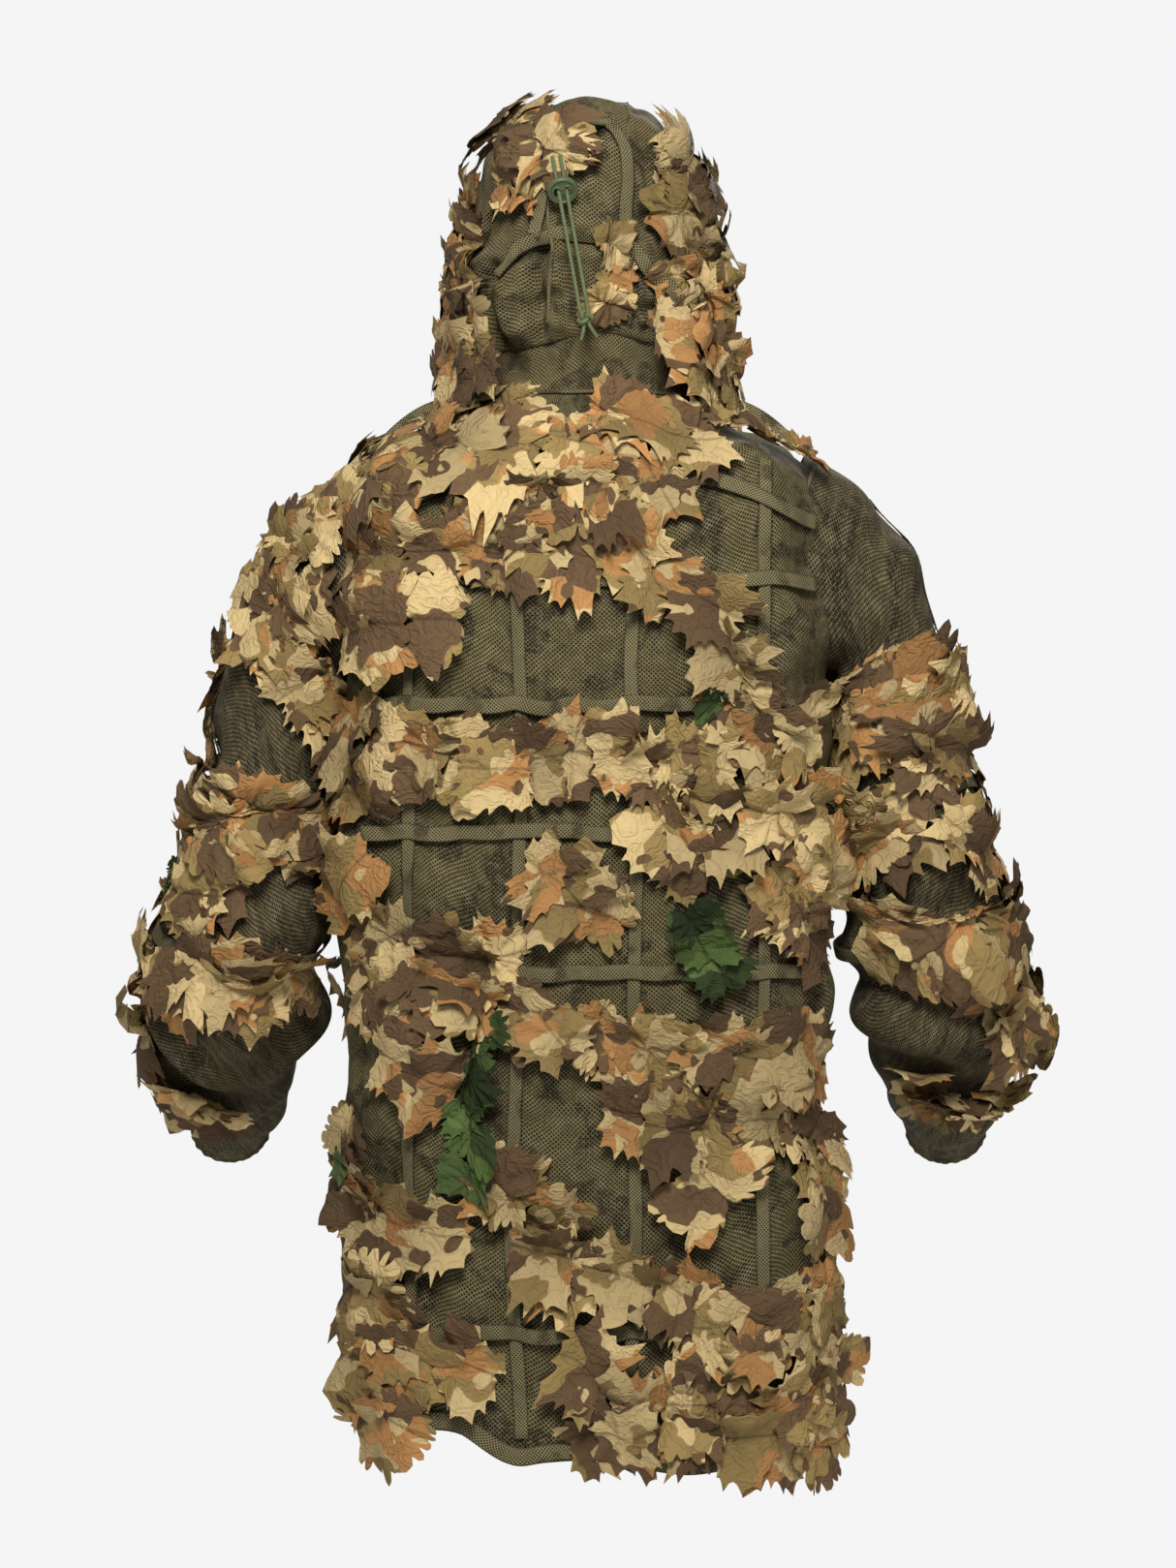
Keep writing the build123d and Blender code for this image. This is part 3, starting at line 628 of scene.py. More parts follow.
def net_material(name, light, dark, pitch, diagonal=True, blotch=0.55):
    """Open net: light threads round holes painted dark as the shade seen through them, with dark printed
    blotches; a tape's edges get painted shade.
    """
    material, tree, bsdf = shader(name)
    cloth = attribute(tree, "weave")
    warp = node(tree, "ShaderNodeTexNoise", {"Vector": cloth, "Scale": 34.0, "Detail": 1.0})
    bent = node(tree, "ShaderNodeVectorMath", {0: warp.outputs["Color"], 1: (0.5, 0.5, 0.5)},
                operation="SUBTRACT")
    bent = node(tree, "ShaderNodeVectorMath", {0: bent.outputs[0], "Scale": 0.0045}, operation="SCALE")
    bent = node(tree, "ShaderNodeVectorMath", {0: bent.outputs[0], 1: cloth}, operation="ADD").outputs[0]
    wave = weave_mask(tree, bent, pitch, diagonal)
    thread = threshold(tree, wave, 0.34, 0.36)
    patches = noise(tree, cloth, 30.0, 2.0, 0.55, 0.3)
    big = noise(tree, cloth, 7.0, 2.0)
    patch = threshold(tree, patches, blotch, 0.035)
    wide = threshold(tree, big, 0.5, 0.22)
    thread_colour = mix(tree, patch, linear(light), linear(dark))
    thread_colour = mix(tree, math_node(tree, "MULTIPLY", wide, 0.35), thread_colour, linear("48412b"))
    worn = threshold(tree, noise(tree, cloth, 90.0, 2.0), 0.58, 0.12)
    thread_colour = mix(tree, math_node(tree, "MULTIPLY", worn, 0.45), thread_colour, linear("958a68"))
    fleck = threshold(tree, noise(tree, cloth, 420.0, 2.0), 0.56, 0.14)
    thread_colour = mix(tree, math_node(tree, "MULTIPLY", fleck, 0.4), thread_colour, linear("9a8f6c"))
    # The holes are painted with a dark shade colour, the shade seen through the net; darker in the printed
    # patches.
    painted_shade_colour = mix(tree, patch, linear("1f1b10"), linear("100d08"))
    # Painted shade along a tape's edges, where it stands off the net: from the edge attribute, mixed towards
    # the painted shade colour.
    rim = threshold(tree, value_attribute(tree, "edge"), 0.44, 0.05)
    thread_colour = mix(tree, math_node(tree, "MULTIPLY", rim, 0.6), thread_colour, painted_shade_colour)
    colour = mix(tree, thread, painted_shade_colour, thread_colour)
    tree.links.new(colour, bsdf.inputs["Base Color"])
    bsdf.inputs["Roughness"].default_value = 0.92
    bsdf.inputs["Specular IOR Level"].default_value = 0.2
    bump = node(tree, "ShaderNodeBump", {"Strength": 0.7, "Distance": 0.0007, "Height": thread})
    tree.links.new(bump.outputs[0], bsdf.inputs["Normal"])
    return material


LEAF_COLOURS = ("d0b57f", "99804e", "6a5238", "b7854f")  # sand, khaki, brown and rust


def leaf_material(name, colours, dark_spots=True):
    """Printed cloth: crisp camouflage blots on a sand, khaki, brown and rust ground."""
    sand, khaki, brown, rust = (linear(colour) for colour in colours)
    material, tree, bsdf = shader(name)
    cloth = attribute(tree, "print")
    jag = node(tree, "ShaderNodeTexNoise", {"Vector": cloth, "Scale": 110.0, "Detail": 0.0})
    shift = node(tree, "ShaderNodeVectorMath", {0: jag.outputs["Color"], 1: (0.5, 0.5, 0.5)},
                 operation="SUBTRACT")
    shift = node(tree, "ShaderNodeVectorMath", {0: shift.outputs[0], "Scale": 0.008}, operation="SCALE")
    place = node(tree, "ShaderNodeVectorMath", {0: shift.outputs[0], 1: cloth}, operation="ADD").outputs[0]
    fields = []
    for offset, scale in ((0.0, 15.0), (3.1, 19.5), (7.7, 18.0), (5.2, 34.0)):
        moved = node(tree, "ShaderNodeVectorMath", {0: place, 1: (offset, offset * 2, offset)},
                     operation="ADD")
        fields.append(noise(tree, moved.outputs[0], scale, 1.0, 0.45))
    colour = mix(tree, threshold(tree, fields[0], 0.52, 0.004), khaki, rust)
    colour = mix(tree, threshold(tree, fields[1], 0.525, 0.004), colour, sand)
    colour = mix(tree, threshold(tree, fields[2], 0.555, 0.004), colour, brown)
    if dark_spots:
        spots = node(tree, "ShaderNodeTexVoronoi", {"Vector": place, "Scale": 46.0, "Randomness": 1.0})
        near = threshold(tree, math_node(tree, "MULTIPLY", spots.outputs["Distance"], -1.0), -0.25, 0.01)
        gate = threshold(tree, spots.outputs["Color"], 0.62, 0.01)
        colour = mix(tree, math_node(tree, "MULTIPLY", near, gate), colour, brown)
        chips = threshold(tree, fields[3], 0.64, 0.004)
        colour = mix(tree, chips, colour, sand)
    # Each leaf's brightness: a random tone, with painted shade towards its stitched middle and painted light
    # where it stands off the cloth.
    tone = value_attribute(tree, "tone")
    shade = node(tree, "ShaderNodeMapRange", {"Value": tone, "To Min": 0.56, "To Max": 1.08}).outputs[0]
    weave = noise(tree, cloth, 900.0, 2.0)
    grain = node(tree, "ShaderNodeMapRange", {"Value": weave, "To Min": 0.86, "To Max": 1.12}).outputs[0]
    level = math_node(tree, "MULTIPLY", shade, grain)
    stitch = math_node(tree, "ABSOLUTE", value_attribute(tree, "stitch"))
    seam = threshold(tree, stitch, 0.0011, 0.0004)
    level = math_node(tree, "MULTIPLY", level, math_node(tree, "MULTIPLY_ADD", seam, 0.35, 0.65))
    grey = node(tree, "ShaderNodeCombineColor", {0: level, 1: level, 2: level}).outputs[0]
    colour = mix(tree, 1.0, colour, grey, "MULTIPLY")
    tree.links.new(colour, bsdf.inputs["Base Color"])
    bsdf.inputs["Roughness"].default_value = 0.85
    bsdf.inputs["Specular IOR Level"].default_value = 0.25
    crumple = noise(tree, cloth, 75.0, 2.0, 0.5, 1.2)
    crease = math_node(tree, "ABSOLUTE", math_node(tree, "SUBTRACT", crumple, 0.5))
    crease = node(tree, "ShaderNodeMapRange", {"Value": crease, "From Max": 0.10}, clamp=True).outputs[0]
    height = math_node(tree, "ADD", crease, math_node(tree, "MULTIPLY", weave, 0.12))
    bump = node(tree, "ShaderNodeBump", {"Strength": 0.55, "Distance": 0.0022, "Height": height})
    tree.links.new(bump.outputs[0], bsdf.inputs["Normal"])
    return material


def plain_material(name, colour, other, rough, metal=0.0, grain=400.0, bump_depth=0.0002):
    """Moulded, painted or braided surface: two close colours in a fine grain, with a light bump."""
    material, tree, bsdf = shader(name)
    coordinate = node(tree, "ShaderNodeTexCoord").outputs["Object"]
    fine = noise(tree, coordinate, grain, 3.0)
    broad = noise(tree, coordinate, 60.0, 2.0)
    colour = mix(tree, threshold(tree, fine, 0.5, 0.2), linear(colour), linear(other))
    colour = mix(tree, math_node(tree, "MULTIPLY", broad, 0.3), colour, linear(other))
    tree.links.new(colour, bsdf.inputs["Base Color"])
    rough_out = node(tree, "ShaderNodeMapRange",
                     {"Value": broad, "To Min": rough - 0.08, "To Max": rough + 0.08})
    tree.links.new(rough_out.outputs[0], bsdf.inputs["Roughness"])
    bsdf.inputs["Metallic"].default_value = metal
    bump = node(tree, "ShaderNodeBump", {"Strength": 0.5, "Distance": bump_depth, "Height": fine})
    tree.links.new(bump.outputs[0], bsdf.inputs["Normal"])
    return material


# ------------------------------------------------------------------ ribbons and tubes
def ribbon(name, strips, thick=0.9 * MM):
    """Woven tape: each strip is its centre points, the normals there and its width; one mesh."""
    points, faces, weave, edge = [], [], [], []
    profile = ((-0.5, -0.25 * MM), (-0.38, 0), (0, 0.15 * MM), (0.38, 0), (0.5, -0.25 * MM))
    for centre, normal, width in strips:
        centre, normal = np.asarray(centre, float), np.asarray(normal, float)
        along = np.gradient(centre, axis=0)
        along /= np.linalg.norm(along, axis=1)[:, None]
        side = np.cross(along, normal)
        side /= np.linalg.norm(side, axis=1)[:, None]
        place = np.concatenate([[0], np.cumsum(np.linalg.norm(np.diff(centre, axis=0), axis=1))])
        first = len(points)
        for index, spot in enumerate(centre):
            for share, rise in profile:
                points.append(spot + side[index] * share * width + normal[index] * rise)
                weave.append((place[index] + first * 0.01, share * width, 0))
                # edge: 0 in the tape's middle to 0.5 at its edges; the tape's material paints shade along
                # its edges from it.
                edge.append(abs(share))
        for row in range(len(centre) - 1):
            for column in range(len(profile) - 1):
                corner = first + row * len(profile) + column
                faces.append((corner, corner + 1, corner + 1 + len(profile), corner + len(profile)))
    piece = mesh_object(name, points, faces, [("weave", "FLOAT_VECTOR", weave), ("edge", "FLOAT", edge)])
    solid = piece.modifiers.new("thickness", "SOLIDIFY")
    solid.thickness = thick
    solid.offset = 0
    return piece


def tube(name, lines, sides=8):
    """Round cords or rolled seams: each line is its points, its radius and whether it closes."""
    points, faces, weave = [], [], []
    for line, radius, closed in lines:
        line = np.asarray(line, float)
        if closed:
            along = np.roll(line, -1, 0) - np.roll(line, 1, 0)
        else:
            along = np.gradient(line, axis=0)
        along /= np.linalg.norm(along, axis=1)[:, None]
        side = np.cross(along[0], (0.3, 0.5, 0.8))
        first, place = len(points), 0.0
        for index, spot in enumerate(line):
            side = side - along[index] * (side @ along[index])
            side /= np.linalg.norm(side)
            other = np.cross(along[index], side)
            size = radius[index] if np.ndim(radius) else radius
            if index:
                place += np.linalg.norm(spot - line[index - 1])
            for step in range(sides):
                turn = 2 * pi * step / sides
                points.append(spot + (side * cos(turn) + other * sin(turn)) * size)
                weave.append((place, size * turn, 0))
        rings = len(line)
        for ring in range(rings if closed else rings - 1):
            after = (ring + 1) % rings
            for step in range(sides):
                a, b = first + ring * sides, first + after * sides
                faces.append((a + step, a + (step + 1) % sides, b + (step + 1) % sides, b + step))
        if not closed:
            faces.append(tuple(first + step for step in reversed(range(sides))))
            faces.append(tuple(first + (rings - 1) * sides + step for step in range(sides)))
    return mesh_object(name, points, faces, [("weave", "FLOAT_VECTOR", weave)])


# ------------------------------------------------------------------ cut leaves
def leaf_outline(rng):
    """Angles and radii of a cut leaf's outline: small teeth or scallops on a waisted oval."""
    teeth = int(rng.integers(15, 23))
    tips = (np.arange(teeth) + rng.uniform(-0.28, 0.28, teeth)) / teeth
    depth = rng.uniform(0.09, 0.26, teeth)
    height = rng.uniform(0.86, 1.06, teeth)
    spiky = rng.random() < 0.7
    spikes = ((0.0, 0.0), (0.27, 0.78), (0.5, 1.0), (0.73, 0.78))
    scallops = ((0.0, 1.0), (0.2, 0.25), (0.5, 0.0), (0.8, 0.25))
    shape = spikes if spiky else scallops
    angles, radii = [], []
    for index in range(teeth):
        after = (index + 1) % teeth
        span = (tips[after] - tips[index]) % 1
        for along, cut in shape:
            top = height[index] * (1 - along) + height[after] * along
            angles.append(2 * pi * (tips[index] + span * along))
            radii.append(top * (1 - depth[index] * cut))
    angles, radii = np.array(angles), np.array(radii)
    lobes = 1 - rng.uniform(0.04, 0.16) * np.cos(angles * rng.integers(4, 7) + rng.uniform(0, 6))
    waist = 1 - rng.uniform(0.16, 0.42) * np.exp(-(np.sin(angles) / 0.42) ** 2)
    oval = (np.abs(np.cos(angles)) ** 2.5 + np.abs(np.sin(angles)) ** 2.5) ** (-1 / 2.5)
    return angles, radii * lobes * waist * oval


RINGS = (0.42, 0.76, 1.0)  # shares of a leaf's outline at which its mesh has rings


class Leaves:
    """The leaves of one piece: printed cloth cut to leaf shapes and stitched down along a line."""

    def __init__(self, seed):
        self.rng = np.random.default_rng(seed)
        self.points, self.faces, self.print, self.tone, self.stitch = [], [], [], [], []
        self.area = 0.0

    def add(self, cloth, u, v, angle, long, wide, lift=2 * MM, flare=1.0):
        """A leaf at (u, v), stitched along a line at an angle to the rows."""
        rng = self.rng
        turn, outline = leaf_outline(rng)
        count = len(outline)
        share = np.concatenate([[0.0], np.repeat(RINGS, count)])
        spread = np.concatenate([[0.0], np.concatenate([outline * ring for ring in RINGS])])
        every = np.concatenate([[0.0], np.tile(turn, len(RINGS))])
        along, aside = spread * np.cos(every) * long, spread * np.sin(every) * wide
        pattern = np.stack([along, aside, 0 * along], 1) + rng.uniform(-3, 3, 3)
        steps = np.diff(np.concatenate([turn, [turn[0] + 2 * pi]]))
        self.area += 0.5 * float((outline ** 2 * steps).sum()) * long * wide
        over = np.abs(aside) / wide
        upper, lower = rng.uniform(0.05, 0.60) * flare, rng.uniform(0.03, 0.32) * flare
        slope = np.where(aside < 0, upper, lower)
        curl = np.where(aside < 0, rng.uniform(-0.5, 0.8), rng.uniform(-0.4, 0.6))
        wave = np.sin(along / long * rng.uniform(2.0, 4.5) + rng.uniform(0, 6))
        ruffle = wave * over * rng.uniform(0.6, 3.4) * MM
        fan = np.sin(every * rng.integers(5, 10) + rng.uniform(0, 6)) * share * rng.uniform(0.5, 2.2) * MM
        pucker = rng.uniform(0, 3.5) * MM * np.sin(along / long * 2.2 + rng.uniform(0, 6)) ** 2
        height = np.abs(aside) * np.sin(slope) + curl * over ** 2 * wide * 0.22 + ruffle + fan + pucker
        height = np.clip(height, -0.5 * MM, 19 * MM)
        aside = aside * np.cos(slope)
        reach_u, reach_v = cloth.reach(u, v)
        du = (along * cos(angle) - aside * sin(angle)) / reach_u
        dv = (along * sin(angle) + aside * cos(angle)) / reach_v
        normal = cloth.outward(u + du, v + dv)
        spots = cloth.point(u + du, v + dv) + normal * (lift + height)[:, None]
        spots[:, 2] -= np.clip(height, 0, 1) * 0.45
        first = len(self.points)
        self.points.extend(spots)
        faces = [(first, first + 1 + step, first + 1 + (step + 1) % count) for step in range(count)]
        for ring in range(len(RINGS) - 1):
            inner, outer = first + 1 + ring * count, first + 1 + (ring + 1) * count
            for step in range(count):
                after = (step + 1) % count
                faces.append((inner + step, outer + step, outer + after, inner + after))
        self.faces.extend(faces)
        self.print.extend(pattern)
        # Brightness: a random tone per leaf, plus painted shade towards the stitched middle and painted
        # light on parts that stand off the cloth.
        self.tone.extend(float(rng.uniform(0, 1)) + 0.2 * (share - 0.6) + 10 * np.clip(height, 0, 0.02))
        self.stitch.extend(aside)

    def one(self, cloth, u, v, angle, size=(27, 42), lift=(4, 11), flare=1.0):
        """One leaf of a random size."""
        rng = self.rng
        long, wide = rng.uniform(*size) * MM, rng.uniform(*size) * 1.2 * MM
        self.add(cloth, u, v, angle, long, wide, rng.uniform(*lift) * MM, flare)

    def run(self, cloth, start, end, spread, spacing=31, **options):
        """Leaves along a line between two (u, v) places, scattered to both sides of it."""
        rng = self.rng
        start, end = np.array(start, float), np.array(end, float)
        reach = np.array(cloth.reach(*((start + end) / 2)))
        length = float(np.linalg.norm((end - start) * reach))
        count = max(1, round(length / (spacing * MM)))
        run_angle = atan2((end - start)[1] * reach[1], (end - start)[0] * reach[0])
        for index in range(count):
            u, v = start + (end - start) * (index + 0.5 + rng.uniform(-0.25, 0.25)) / count
            shift = rng.uniform(-1, 1) * spread * MM
            u -= sin(run_angle) * shift / reach[0]
            v += cos(run_angle) * shift / reach[1]
            self.one(cloth, u, v, run_angle + rng.normal(0, 0.25), **options)

    def piece(self, name, material):
        attributes = [("print", "FLOAT_VECTOR", self.print), ("tone", "FLOAT", self.tone)]
        attributes.append(("stitch", "FLOAT", self.stitch))
        piece = mesh_object(name, self.points, self.faces, attributes)
        piece.data.materials.append(material)
        return piece


# ------------------------------------------------------------------ places on the torso
class Torso(Cloth):
    """The body's cloth, with ways to find a place on it by its x and height."""

    def level(self, u, z):
        """v of a height in the column at u."""
        heights = self.point(np.full(self.rows, u), np.linspace(0, 1, self.rows))[:, 2]
        return float(np.interp(-z, -heights, np.linspace(0, 1, self.rows)))

    def at(self, x, z, back=True):
        """(u, v) of an x and a height, on the back or the front."""
        if back:
            span = (SIDE_COLUMNS - 4, SIDE_COLUMNS + BACK_COLUMNS + 4)
        elif x > 0:
            span = (0, SIDE_COLUMNS)
        else:
            span = (SIDE_COLUMNS + BACK_COLUMNS, self.columns - 1)
        share = np.linspace(span[0], span[1], 160) / (self.columns - 1)
        u = share[80]
        for _ in range(3):
            v = self.level(u, z)
            across = self.point(share, np.full(len(share), v))[:, 0]
            downwards = across[0] > across[-1]
            accumulate = np.minimum.accumulate if downwards else np.maximum.accumulate
            falling = accumulate(across)
            order = np.argsort(falling, kind="stable")
            u = float(np.interp(x, falling[order], share[order]))
        return u, self.level(u, z)

    def line(self, spots, back=True):
        """Points and normals at (x, z, height above the cloth) spots."""
        points, normals = [], []
        for x, z, rise in spots:
            u, v = self.at(x, z, back)
            normal = self.outward(u, v)
            points.append(self.point(u, v) + normal * rise)
            normals.append(normal)
        return np.array(points), np.array(normals)


def even_out(line, rounds=2):
    """Smooth a list of points a little, its ends kept."""
    line = np.array(line, float)
    for _ in range(rounds):
        line[1:-1] = line[1:-1] * 0.5 + (line[:-2] + line[2:]) * 0.25
    return line


def sagging(position, tacks, low, high):
    """How far a slack tape hangs away between its tacks, from a low to a high value."""
    share = np.interp(position, tacks, np.arange(len(tacks)))
    return low + (high - low) * abs(sin(pi * share))


def cross_tape(torso, z, reach, seed):
    """One sewn cross tape: tacked at the lengthways tapes, slack and hanging a little between."""
    rng = random.Random(seed)
    tacks = [-0.21, -0.15, -0.092, -0.034, 0.012, 0.058, 0.102, 0.146, 0.21]
    depth = [rng.uniform(1.0, 5.5) * MM for _ in tacks]
    proud = [rng.uniform(1.0, 5.0) * MM for _ in tacks]
    spots = []
    for x in np.linspace(reach, -reach, 96):
        slot_number = min(int(np.searchsorted(tacks, x)), len(tacks) - 1)
        sag = sagging(x, tacks, 0, depth[slot_number])
        rise = sagging(x, tacks, 3.2 * MM, 3.2 * MM + proud[slot_number])
        spots.append((x, z - sag, rise))
    points, normals = torso.line(spots)
    return even_out(points), normals, TAPE_WIDTH * 0.8


def length_tape(torso, x, top, low, seed, back=True):
    """One lengthways tape, lying on the net with slight slack."""
    bend = Ripple(seed, 0.25)
    spots = []
    for z in np.linspace(top, low, 110):
        sway = 2.5 * MM * float(bend(np.array([x, 0, z])))
        spots.append((x + sway, z, 2.6 * MM))
    points, normals = torso.line(spots, back)
    return even_out(points), normals, TAPE_WIDTH * 0.72


def make_torso_tapes(torso, material):
    """The tape grid of the back and the fronts."""
    low = HEM + 16 * MM
    lengthways = [length_tape(torso, x * MM, -0.05, low, 40 + i) for i, x in enumerate((-142, -36, 56, 144))]
    piece = ribbon("back_length_tapes_cloth", lengthways)
    finish_piece(piece, material, "jacket", ("back_length_tapes",))
    for number, z in enumerate((-160, -262, -366, -480, -768), 1):
        tape = cross_tape(torso, z * MM, 0.183 if z > -700 else 0.196, number)
        name = f"back_cross_tape_{number}"
        finish_piece(ribbon(name + "_cloth", [tape]), material, "jacket", (name,))
    yokes = []
    for side in (-1, 1):
        spots = []
        for x in np.linspace(0.050, 0.186, 50):
            slack = abs(sin(pi * x / 0.045))
            z = -0.078 - 0.034 * float(smooth((x - 0.09) / 0.10)) - 0.002 * slack
            spots.append((side * x, z, (3 + 3 * slack) * MM))
        points, normals = torso.line(spots)
        yokes.append((even_out(points), normals, TAPE_WIDTH * 0.8))
    finish_piece(ribbon("yoke_tapes_cloth", yokes), material, "jacket", ())
    for word, side in (("left", 1), ("right", -1)):
        strips = []
        for index, x in enumerate((58, 142)):
            strips.append(length_tape(torso, side * x * MM, -0.07, low, 50 + index, back=False))
        for z in (-290, -560):
            spots = [(side * x, z * MM - 2 * MM * abs(sin(x * 60)), 3.4 * MM)
                     for x in np.linspace(0.03, 0.185, 60)]
            points, normals = torso.line(spots, back=False)
            strips.append((even_out(points), normals, TAPE_WIDTH * 0.8))
        name = f"front_tapes_{word}"
        finish_piece(ribbon(name + "_cloth", strips), material, "jacket", (name,))


def make_shoulder_tapes(material):
    """Slack tapes that stand up over the shoulders, and the hanging loop inside the collar."""
    for word, side in (("left", 1), ("right", -1)):
        name = f"shoulder_loop_{word}"
        low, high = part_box(name)
        share = np.linspace(0, 1, 24)
        bow = np.sin(share * pi)
        x = low.x + (high.x - low.x) * (share if side > 0 else 1 - share)
        z = high.z - 0.6 * MM + (low.z + 1 * MM - high.z) * share + bow * 10 * MM
        middle = (low.y + high.y) / 2
        line = np.stack([x, middle + 2 * MM * np.sin(share * 7), z], 1)
        along = np.gradient(line, axis=0)
        normal = np.cross((0, 1, 0), along)
        normal *= np.sign(normal[:, 2:3])
        normal /= np.linalg.norm(normal, axis=1)[:, None]
        twist = (radians(20) + radians(50) * bow)[:, None]
        normal = normal * np.cos(twist) + np.array((0.0, 1.0, 0.0)) * np.sin(twist)
        piece = ribbon(name + "_cloth", [(line, normal, 12 * MM)], 1.3 * MM)
        finish_piece(piece, material, "jacket", (name,))
    low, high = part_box("hang_loop")
    share = np.linspace(0, 1, 20)
    x = low.x + (high.x - low.x) * share
    y = high.y - (high.y - low.y) * np.clip(np.sin(share * pi) * 1.6, 0, 1)
    line = np.stack([x, y, np.full(20, (low.z + high.z) / 2)], 1)
    normal = np.tile((0.0, -1.0, 0.0), (20, 1))
    piece = ribbon("hang_loop_cloth", [(line, normal, high.z - low.z)], 1.2 * MM)
    finish_piece(piece, material, "jacket", ("hang_loop",))


# ------------------------------------------------------------------ panels
ARMHOLE_HEIGHT, ARMHOLE_HALF = -0.150, (0.074, 0.090)  # middle's height; half depth and half height


def outside_armholes(at):
    """Whether a place on the body's cloth lies outside both armholes."""
    if abs(at[0]) < 0.15:
        return True
    return (at[1] / ARMHOLE_HALF[0]) ** 2 + ((at[2] - ARMHOLE_HEIGHT) / ARMHOLE_HALF[1]) ** 2 > 1


def outside_face(at):
    """Whether a place on the hood's cloth lies outside the face opening and its slit."""
    if at[1] > -0.02:
        return True
    inside = (at[0] / FACE_HALF_WIDTH) ** 2 + ((at[2] - FACE_MIDDLE) / FACE_HALF_HEIGHT) ** 2 < 1
    return not inside and (abs(at[0]) > ZIP_HALF_GAP or at[2] > FACE_MIDDLE)


def smoother(piece, levels=1):
    """One level of subdivision."""
    made = piece.modifiers.new("rounding", "SUBSURF")
    made.levels = made.render_levels = levels


def make_torso_panels(torso, net, tape):
    """Net of the back and the fronts, side seams and the turned hem."""
    back = (SIDE_COLUMNS, SIDE_COLUMNS + BACK_COLUMNS)
    spans = {
        "back_panel": back,
        "front_panel_left": (0, back[0]),
        "front_panel_right": (back[1], torso.columns - 1),
    }
    for name, columns in spans.items():
        piece = net_piece(name + "_net", torso, columns, outside_armholes)
        smoother(piece)
        finish_piece(piece, net, "jacket", (name,))
    seams = []
    for column in back:
        rows = torso.grid[:, column] + torso.normal[:, column] * 0.6 * MM
        keep = rows[:, 2] < ARMHOLE_HEIGHT - ARMHOLE_HALF[1] - 0.004
        seams.append((rows[keep], SEAM_RADIUS, False))
    finish_piece(tube("side_seams", seams), tape, "jacket", ())
    share = np.linspace(0, 1, 330)
    hem_line = np.full(330, 0.9915)
    points, normals = torso.point(share, hem_line), torso.outward(share, hem_line)
    hem = ribbon("hem_binding_cloth", [(points + normals * 0.9 * MM, normals, 14 * MM)], 2.4 * MM)
    finish_piece(hem, tape, "jacket", ("hem_binding",))


def make_neck(torso, hood, neck_net, tape):
    """The smooth panel between the shoulders and the hood."""
    neck = Cloth(neck_grid(torso, hood), False)
    crumple = 0.8 * MM * Ripple(41, 0.05)(neck.grid)
    neck.set(neck.grid + neck.normal * crumple[..., None])
    piece = net_piece("collar_band_net", neck, (0, neck.columns - 1))
    smoother(piece)
    finish_piece(piece, neck_net, "jacket", ("collar_band",))
    seam = torso.grid[1] + torso.normal[1] * 1.2 * MM
    finish_piece(tube("neckline_seam", [(seam, 1.7 * MM, False)]), tape, "jacket", ())
    return neck


def shoulder_bend(word, side):
    """Body names and two shoulder points of a sleeve, given as its blend; finish_piece reads only that one
    is given.
    """
    return "jacket", f"sleeve_{word}", (side * 0.196, 0, -0.150), (side * 0.259, 0, -0.178)


def make_sleeve_set(word, side, cloth, net, tape, elastic):
    """One sleeve's net, its seam at the armhole and its cuff."""
    body, bend = f"sleeve_{word}", shoulder_bend(word, side)
    piece = net_piece(body + "_net", cloth, (0, cloth.columns))
    smoother(piece)
    finish_piece(piece, net, body, (body,), bend)
    ring = cloth.grid[1] + cloth.normal[1] * 1.0 * MM
    seam = tube(f"armhole_seam_{word}", [(ring, 1.9 * MM, True)])
    finish_piece(seam, tape, body, (), bend)
    make_cuff(word, cloth, net, elastic)


def make_cuff(word, cloth, cuff_cloth, elastic):
    """Gathered cuff past the sleeve's last ring, with its elastic inside."""
    body = f"sleeve_{word}"
    wrist, before = cloth.grid[-1].mean(0), cloth.grid[-9].mean(0)
    along = (wrist - before) / np.linalg.norm(wrist - before)
    turn = np.linspace(0, 2 * pi, cloth.columns, endpoint=False)
    ring = cloth.grid[-1] - wrist
    rows = []
    for step in np.linspace(0, 1, 26):
        waist = 1 - 0.10 * smooth(step / 0.25) + 0.05 * smooth((step - 0.75) / 0.25)
        pleat = 1.3 * MM * np.sin(turn * 26 + 2 * np.sin(turn * 3)) * (1 - 0.3 * abs(2 * step - 1))
        channel = -0.8 * MM * (abs(step - 0.25) < 0.02) - 0.8 * MM * (abs(step - 0.66) < 0.02)
        size = np.linalg.norm(ring, axis=1, keepdims=True)
        rows.append(wrist + along * (step * 0.032) + ring * waist + ring / size * (pleat[:, None] + channel))
    inside = wrist + along * 0.031 + (rows[-1] - rows[-1].mean(0)) * 0.93
    rows.append(inside)
    rows.append(inside - along * 0.020)
    cuff = Cloth(np.array(rows), True)
    piece = net_piece(f"cuff_{word}_cloth", cuff, (0, cuff.columns))
    smoother(piece)
    finish_piece(piece, cuff_cloth, body, (f"cuff_{word}",))
    middle = wrist + along * 0.018
    band = middle + ring * 0.80
    loop = np.concatenate([band, band[:1]])
    normal = np.concatenate([ring, ring[:1]])
    normal = normal / np.linalg.norm(normal, axis=1)[:, None]
    piece = ribbon(f"cuff_elastic_{word}_band", [(loop, normal, 18 * MM)], 1.6 * MM)
    finish_piece(piece, elastic, body, (f"cuff_elastic_{word}",))


